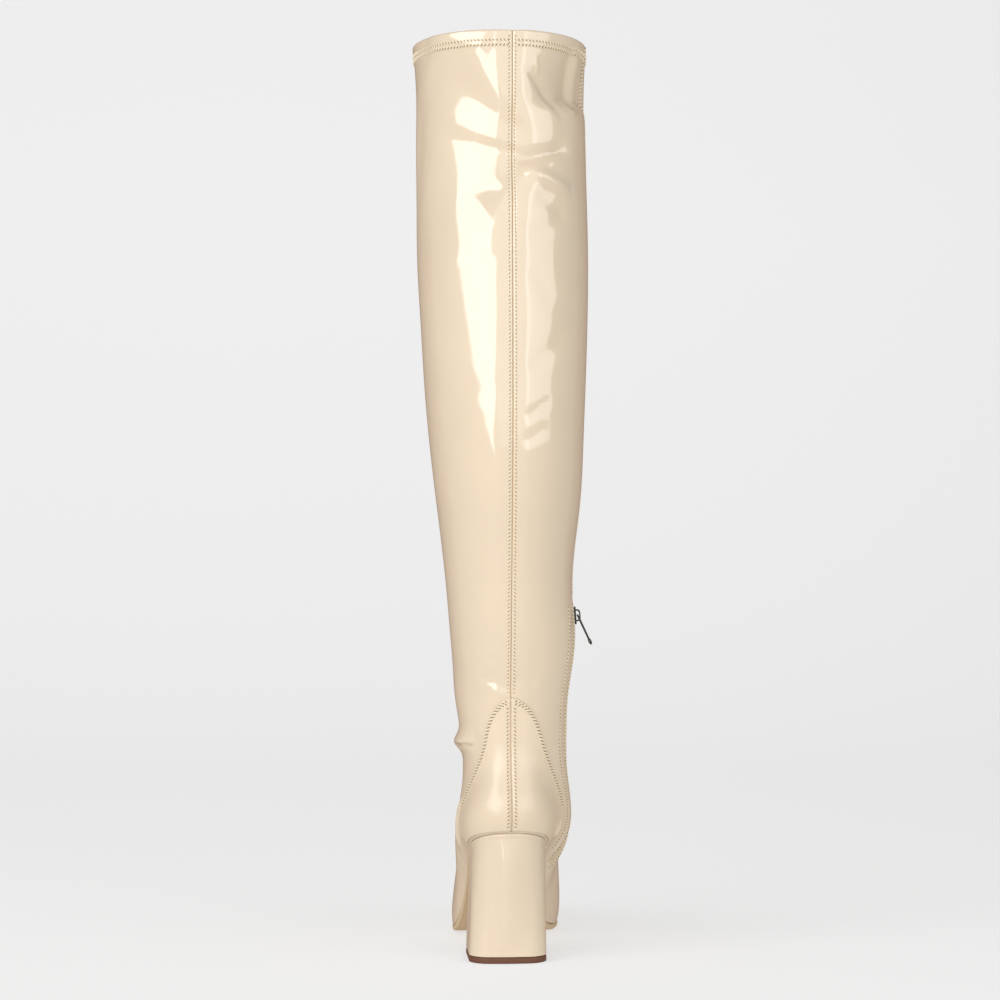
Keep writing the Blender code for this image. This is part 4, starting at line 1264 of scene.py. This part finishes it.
def zip_rows():
    """Two rows along each side of the zip, and one along each side of the seam above it."""
    gap = ROW_END / SHAFT_RISE
    levels = np.linspace(ZIP_FOOT_LEVEL + gap, ZIP_TOP_LEVEL - gap, PATH_POINTS)
    above = np.linspace(ZIP_TOP_LEVEL + 2 * gap, shaft_level(COLLAR_Z - ROW_END), PATH_POINTS)
    middle = zip_angle(levels)
    seam = side_seam_angle(above)
    rows = []
    for out in ZIP_ROWS:
        rows.append((moved_across(middle, levels, out), levels, *ON_SKIN, STITCH_SLANT))
    for side in (-1, 1):
        rows.append((moved_across(seam, above, side * SIDE_ROW), above, *ON_SKIN, side * STITCH_SLANT))
    return rows


# Zip: coil pitch and loops, the strip of tape that shows beside it, and mesh of the strips
COIL_PITCH = 1.3
COIL_LENGTH = 2.7
COIL_RADIUS = 0.52
COIL_OUT = 1.05
COIL_LIFT = -0.72
BED_LOW = -1.4
BED_HIGH = -1.15
STRIP_ROWS = 160
STRIP_COLUMNS = 9


def zip_strip(width, low, high, bottom, top):
    """Points and faces of a strip along the zip, between two lifts over the plain surface."""
    levels = np.linspace(bottom, top, STRIP_ROWS)[:, None]
    angles = moved_across(zip_angle(levels), levels, np.linspace(-width / 2, width / 2, STRIP_COLUMNS))
    normal = slope_normal(surface, angles, levels)
    plain = surface(angles, levels)
    points = np.concatenate((plain + normal * high, plain + normal * low)).reshape(-1, 3)
    return points, slab_faces(*angles.shape)


def make_zip_tape(weave):
    """Tape: the strip inside the boot, and the strip that shows beside the coil."""
    high = -(WALL + TAPE_LIFT)
    foot = one_level(ZIP_FOOT_ANGLE, ZIP_FOOT - TAPE_FOOT)
    head = shaft_level(ZIP_TOP_Z + TAPE_HEAD)
    inside, inside_faces = zip_strip(TAPE_WIDTH, high - TAPE_THICK, high, foot, head)
    bed, bed_faces = zip_strip(2 * CHANNEL_HALF, BED_LOW, BED_HIGH, ZIP_FOOT_LEVEL, ZIP_TOP_LEVEL)
    faces = np.vstack((inside_faces, bed_faces + len(inside)))
    add_piece("zip_tape_woven", np.vstack((inside, bed)), faces.tolist(), (weave,),
              ("zip_tape",))


def make_zip_coil(nylon):
    """Closed coil: loops from each side that lie between one another along the zip's middle."""
    foot = one_level(ZIP_FOOT_ANGLE, ZIP_FOOT + TEETH_SHORT)
    levels = np.linspace(foot, shaft_level(ZIP_TOP_Z - TEETH_SHORT), PATH_POINTS)
    middle = zip_angle(levels)
    depth = COIL_LIFT - relief(middle, levels)
    spots, along, normal = even_places(middle, levels, COIL_PITCH / 2, depth)
    across = np.cross(along, normal)
    side = np.where(np.arange(len(spots)) % 2, COIL_OUT, -COIL_OUT)[:, None]
    points, faces = lay_capsules(spots + across * side, across, normal, COIL_LENGTH, COIL_RADIUS)
    add_piece("zip_coil", points, faces, (nylon,), ("zip_teeth",))


# Camera, as the photograph's: place in metres, turn and pitch in degrees, sensor in millimetres
CAMERA_PLACE = (-0.1266, -1.7273, 0.2785)
CAMERA_TURN = -4.0
CAMERA_PITCH = 1.02
SENSOR = 36.0
# Softboxes: place in metres, width and height, and roll in degrees, all turned to the boot's middle
AIM = (0.0, 0.0, 0.40)
KEY_BOX = ((-1.95, -1.92, 1.27), (2.8, 1.7), -24.0)
FRONT_BOX = ((0.3, -2.9, 1.3), (3.0, 2.4), 0.0)
FILL_BOX = ((1.75, -1.75, 0.95), (2.3, 1.4), 0.0)
# Sweep of paper, in metres: half width, front and back ends of its floor, its curve and its height
SWEEP_HALF = 1.05
SWEEP_FRONT = -3.0
SWEEP_BACK = 1.6
SWEEP_CURVE = 0.8
SWEEP_TOP = 3.5
SWEEP_ROWS = 24
# Studio wall behind the paper, in metres: half width, place, foot and top
STUDIO_HALF = 4.5
STUDIO_PLACE = 2.7
STUDIO_FOOT = -2.0
STUDIO_TOP = 4.0
# Full light and none
WHITE = (1.0, 1.0, 1.0, 1.0)
BLACK = (0.0, 0.0, 0.0, 1.0)


def make_sweep(colour, glow):
    """Paper sweep lit through from behind: flat floor, a quarter circle and a wall up from it."""
    turn = np.linspace(0, math.pi / 2, SWEEP_ROWS)
    end = SWEEP_BACK + SWEEP_CURVE
    y = np.concatenate(((SWEEP_FRONT,), SWEEP_BACK + SWEEP_CURVE * np.sin(turn), (end,)))
    z = np.concatenate(((0.0,), SWEEP_CURVE * (1 - np.cos(turn)), (SWEEP_TOP,)))
    x = np.array((-SWEEP_HALF, SWEEP_HALF))
    paper, _, _ = new_finish("matte paper, lit through", {
        "Base Color": colour, "Roughness": 0.9, "Emission Color": WHITE, "Emission Strength": glow})
    points = grid_points(x, y[:, None], z[:, None])
    sweep = new_object("paper_sweep", points, grid_faces(len(y), 2).tolist(), (paper,))
    sweep.visible_glossy = False


def make_wall(colour):
    """Brown wall behind the paper: one upright rectangle, which only the boot's gloss can see."""
    x = np.array((-STUDIO_HALF, STUDIO_HALF))
    z = np.array((STUDIO_FOOT, STUDIO_TOP))[:, None]
    felt, _, _ = new_finish("brown felt, evenly lit", {
        "Base Color": BLACK, "Emission Color": colour, "Emission Strength": 1.0})
    wall = new_object("studio_wall", grid_points(x, STUDIO_PLACE, z), grid_faces(2, 2).tolist(), (felt,))
    wall.visible_camera = False
    wall.visible_diffuse = False


def add_softbox(name, box, power):
    """Rectangular softbox at its place, turned to the boot and rolled about that line."""
    place, size, roll = box
    lamp = bpy.data.lights.new(name, "AREA")
    lamp.shape = "RECTANGLE"
    lamp.size, lamp.size_y = size
    lamp.energy = power
    holder = bpy.data.objects.new(name, lamp)
    bpy.context.scene.collection.objects.link(holder)
    holder.location = place
    look = (Vector(AIM) - Vector(place)).to_track_quat("-Z", "Y")
    holder.rotation_euler = (look @ Quaternion((0, 0, 1), math.radians(roll))).to_euler()


def colour_property(name, description, code):
    """Colour that a user may change, given as sRGB hex."""
    return bpy.props.FloatVectorProperty(name=name, description=description, subtype="COLOR", size=4,
                                         min=0.0, max=1.0, default=to_linear(code))


def number_property(name, description, default, **kind):
    """Number that a user may change, with its unit or subtype."""
    return bpy.props.FloatProperty(name=name, description=description, default=default, **kind)


class BootColours(bpy.types.PropertyGroup):
    """Colours of the boot's finishes and of the stage"""

    patent: colour_property("Patent", "Cream of the shaft, foot, counter and heel", "#E2CFB4")
    # Darker than the film partly for the cut edges and partly as painted shade in the back seam's groove
    seam: colour_property("Seam", "Cut edges that show in the back seam", "#B79D79")
    lining: colour_property("Lining", "Knitted lining inside the shaft", "#E3D3B9")
    sock: colour_property("Sock", "Sock lining that the foot stands on", "#DCC9AC")
    thread: colour_property("Thread", "Thread of every stitch row", "#F3E6CC")
    slit: colour_property("Needle slit", "Shade between two stitches", "#9C835F")
    sole_edge: colour_property("Sole edge", "Painted edge of the outsole", "#CDB592")
    sole: colour_property("Sole", "Underside of the outsole", "#C4A682")
    top_lift: colour_property("Top lift", "Wearing piece under the heel", "#6A422D")
    tape: colour_property("Tape", "Woven tape of the zip", "#E3D2B4")
    coil: colour_property("Coil", "Nylon coil of the zip", "#E0CEAF")
    nickel: colour_property("Nickel", "Plate of the slider and its pull tab", "#5A5753")
    paper: colour_property("Paper", "Paper sweep of the stage", "#AAAAAA")
    wall: colour_property("Wall", "Studio wall that shows in the gloss at the boot's edges", "#9E8676")


class BootSizes(bpy.types.PropertyGroup):
    """Stitch sizes, gloss and studio light"""

    stitch_pitch: number_property(
        "Stitch pitch", "Distance from stitch to stitch, drawn a little coarse to show", 2.5 * MM,
        unit="LENGTH")
    stitch_length: number_property("Stitch length", "Length of a stitch", 2.4 * MM, unit="LENGTH")
    thread_radius: number_property(
        "Thread radius", "Half the thickness of the thread", 0.4 * MM, unit="LENGTH")
    blur: number_property("Upper gloss", "Roughness of the coat on the upper", 0.09, subtype="FACTOR")
    counter_blur: number_property(
        "Counter gloss", "Roughness of the coat over the stiffener", 0.27, subtype="FACTOR")
    counter_coat: number_property(
        "Counter coat", "Strength of the coat over the stiffener", 0.5, subtype="FACTOR")
    heel_blur: number_property(
        "Heel gloss", "Roughness of the coat wrapped on the heel", 0.16, subtype="FACTOR")
    key_power: number_property("Key", "Power of the large softbox", 52.0, unit="POWER")
    front_power: number_property("Front", "Power of the panel behind the camera", 16.0, unit="POWER")
    fill_power: number_property("Fill", "Power of the small panel", 15.0, unit="POWER")
    sky: number_property("Room", "Strength of the light from all round", 0.4)
    glow: number_property("Paper glow", "Light that the paper lets through", 0.53)
    lens: number_property("Lens", "Focal length of the camera", 92.1, unit="CAMERA")


class BOOT_OT_upper(bpy.types.Operator):
    """Make the dressed upper with its creases and lining"""

    bl_idname = "boot.upper"
    bl_label = "Upper"

    def execute(self, context):
        colours = context.scene.boot_colours
        patent = patent_finish("stretch patent cast film", colours.patent, context.scene.boot_sizes.blur)
        # Cut edges of the two halves where they meet, which look duller than the film; their darker colour
        # is also painted shade in the seam's groove
        edge = moulded_finish("cut edge darkened as seam shade", colours.seam, grain=1.0, depth=0.02, roughness=0.6)
        make_upper(patent, knit_finish("knitted lining", colours.lining), edge)
        return {"FINISHED"}


class BOOT_OT_counters(bpy.types.Operator):
    """Make both halves of the heel counter"""

    bl_idname = "boot.counters"
    bl_label = "Counters"

    def execute(self, context):
        sizes = context.scene.boot_sizes
        patent = patent_finish("patent over a stiffener", context.scene.boot_colours.patent,
                               sizes.counter_blur, sizes.counter_coat)
        make_counter("counter_inner_panel", "counter_inner", 1, patent)
        make_counter("counter_outer_panel", "counter_outer", -1, patent)
        return {"FINISHED"}


class BOOT_OT_heel(bpy.types.Operator):
    """Make the covered heel and its top lift"""

    bl_idname = "boot.heel"
    bl_label = "Heel"

    def execute(self, context):
        colours = context.scene.boot_colours
        blur = context.scene.boot_sizes.heel_blur
        make_heel(patent_finish("patent wrapped on the heel", colours.patent, blur))
        # Moulded rubber, which looks dull and a little pitted
        rubber = moulded_finish("moulded rubber", colours.top_lift, grain=1.0, depth=0.05, roughness=0.5)
        make_top_lift(rubber)
        return {"FINISHED"}


class BOOT_OT_sole(bpy.types.Operator):
    """Make the outsole and the sock lining"""

    bl_idname = "boot.sole"
    bl_label = "Sole"

    def execute(self, context):
        colours = context.scene.boot_colours
        # Resin sole board: a smooth painted edge, and a dull moulded grain underneath
        painted = moulded_finish(
            "painted sole edge", colours.sole_edge, grain=2.0, depth=0.02, roughness=0.35)
        resin = moulded_finish("moulded sole resin", colours.sole, grain=1.2, depth=0.08, roughness=0.6)
        make_outsole(painted, resin)
        make_insole(knit_finish("brushed sock lining", colours.sock))
        return {"FINISHED"}


class BOOT_OT_zip(bpy.types.Operator):
    """Make the zip's tape and coil, and plate the slider and the pull tab"""

    bl_idname = "boot.zip"
    bl_label = "Zip"

    def execute(self, context):
        colours = context.scene.boot_colours
        make_zip_tape(woven_finish("woven zip tape", colours.tape))
        # Nylon monofilament, which looks smooth and a little waxy
        make_zip_coil(moulded_finish("nylon coil", colours.coil, grain=0.5, depth=0.02, roughness=0.35))
        nickel = nickel_finish("dark nickel plate", colours.nickel)
        for node in ("zip_slider", "zip_pull"):
            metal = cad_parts[node].data.materials
            metal.clear()
            metal.append(nickel)
        return {"FINISHED"}


class BOOT_OT_stitches(bpy.types.Operator):
    """Sew the rows of the back seam, hem, counter, zip and side seam"""

    bl_idname = "boot.stitches"
    bl_label = "Stitches"

    def execute(self, context):
        colours = context.scene.boot_colours
        thread = thread_finish("twisted polyester thread", colours.thread)
        # Dark, dull capsules between the stitches: painted shade in the needle slits
        slit = moulded_finish("painted shade in needle slits", colours.slit, grain=0.5, depth=0.02, roughness=0.8)
        rows = {"back_seam": seam_rows(), "hem": hem_rows(), "counter": counter_rows(), "zip": zip_rows()}
        for name, paths in rows.items():
            add_stitches("stitches_" + name, paths, context.scene.boot_sizes, thread, slit)
        return {"FINISHED"}


class BOOT_OT_stage(bpy.types.Operator):
    """Make the paper sweep, the studio wall, the light and the camera"""

    bl_idname = "boot.stage"
    bl_label = "Stage"

    def execute(self, context):
        scene = context.scene
        sizes = scene.boot_sizes
        make_sweep(scene.boot_colours.paper, sizes.glow)
        make_wall(scene.boot_colours.wall)
        scene.world = bpy.data.worlds.new("studio")
        scene.world.use_nodes = True
        sky = scene.world.node_tree.nodes["Background"].inputs
        sky["Color"].default_value = WHITE
        sky["Strength"].default_value = sizes.sky
        # The plain view shows each colour as its hex value says
        scene.view_settings.view_transform = "Standard"
        add_softbox("key_softbox", KEY_BOX, sizes.key_power)
        add_softbox("front_panel", FRONT_BOX, sizes.front_power)
        add_softbox("fill_panel", FILL_BOX, sizes.fill_power)
        camera = bpy.data.cameras.new("camera")
        camera.lens = sizes.lens
        camera.sensor_width = SENSOR
        scene.camera = bpy.data.objects.new("camera", camera)
        scene.collection.objects.link(scene.camera)
        scene.camera.location = CAMERA_PLACE
        scene.camera.rotation_euler = (math.radians(90 + CAMERA_PITCH), 0, math.radians(CAMERA_TURN))
        return {"FINISHED"}


OPERATORS = (BOOT_OT_upper, BOOT_OT_counters, BOOT_OT_heel, BOOT_OT_sole, BOOT_OT_zip, BOOT_OT_stitches,
             BOOT_OT_stage)


class BOOT_PT_dressing(bpy.types.Panel):
    """Lists the boot's pieces with their colours and sizes"""

    bl_idname = "BOOT_PT_dressing"
    bl_label = "Boot dressing"
    bl_space_type = "VIEW_3D"
    bl_region_type = "UI"
    bl_category = "Boot"

    def draw(self, context):
        for group in (context.scene.boot_colours, context.scene.boot_sizes):
            for name in group.__annotations__:
                self.layout.prop(group, name)
        for operator in OPERATORS:
            self.layout.operator(operator.bl_idname)


CLASSES = (BootColours, BootSizes, *OPERATORS, BOOT_PT_dressing)


def register():
    """Registers the classes and hangs the two property groups on the scene."""
    for made in CLASSES:
        bpy.utils.register_class(made)
    bpy.types.Scene.boot_colours = bpy.props.PointerProperty(type=BootColours)
    bpy.types.Scene.boot_sizes = bpy.props.PointerProperty(type=BootSizes)


def unregister():
    """Takes the property groups and the classes away again."""
    del bpy.types.Scene.boot_sizes
    del bpy.types.Scene.boot_colours
    for made in reversed(CLASSES):
        bpy.utils.unregister_class(made)


def main():
    """Registers the add-on and makes every piece in order."""
    register()
    bpy.ops.boot.upper()
    bpy.ops.boot.counters()
    bpy.ops.boot.heel()
    bpy.ops.boot.sole()
    bpy.ops.boot.zip()
    bpy.ops.boot.stitches()
    bpy.ops.boot.stage()


if __name__ == "__main__":
    main()
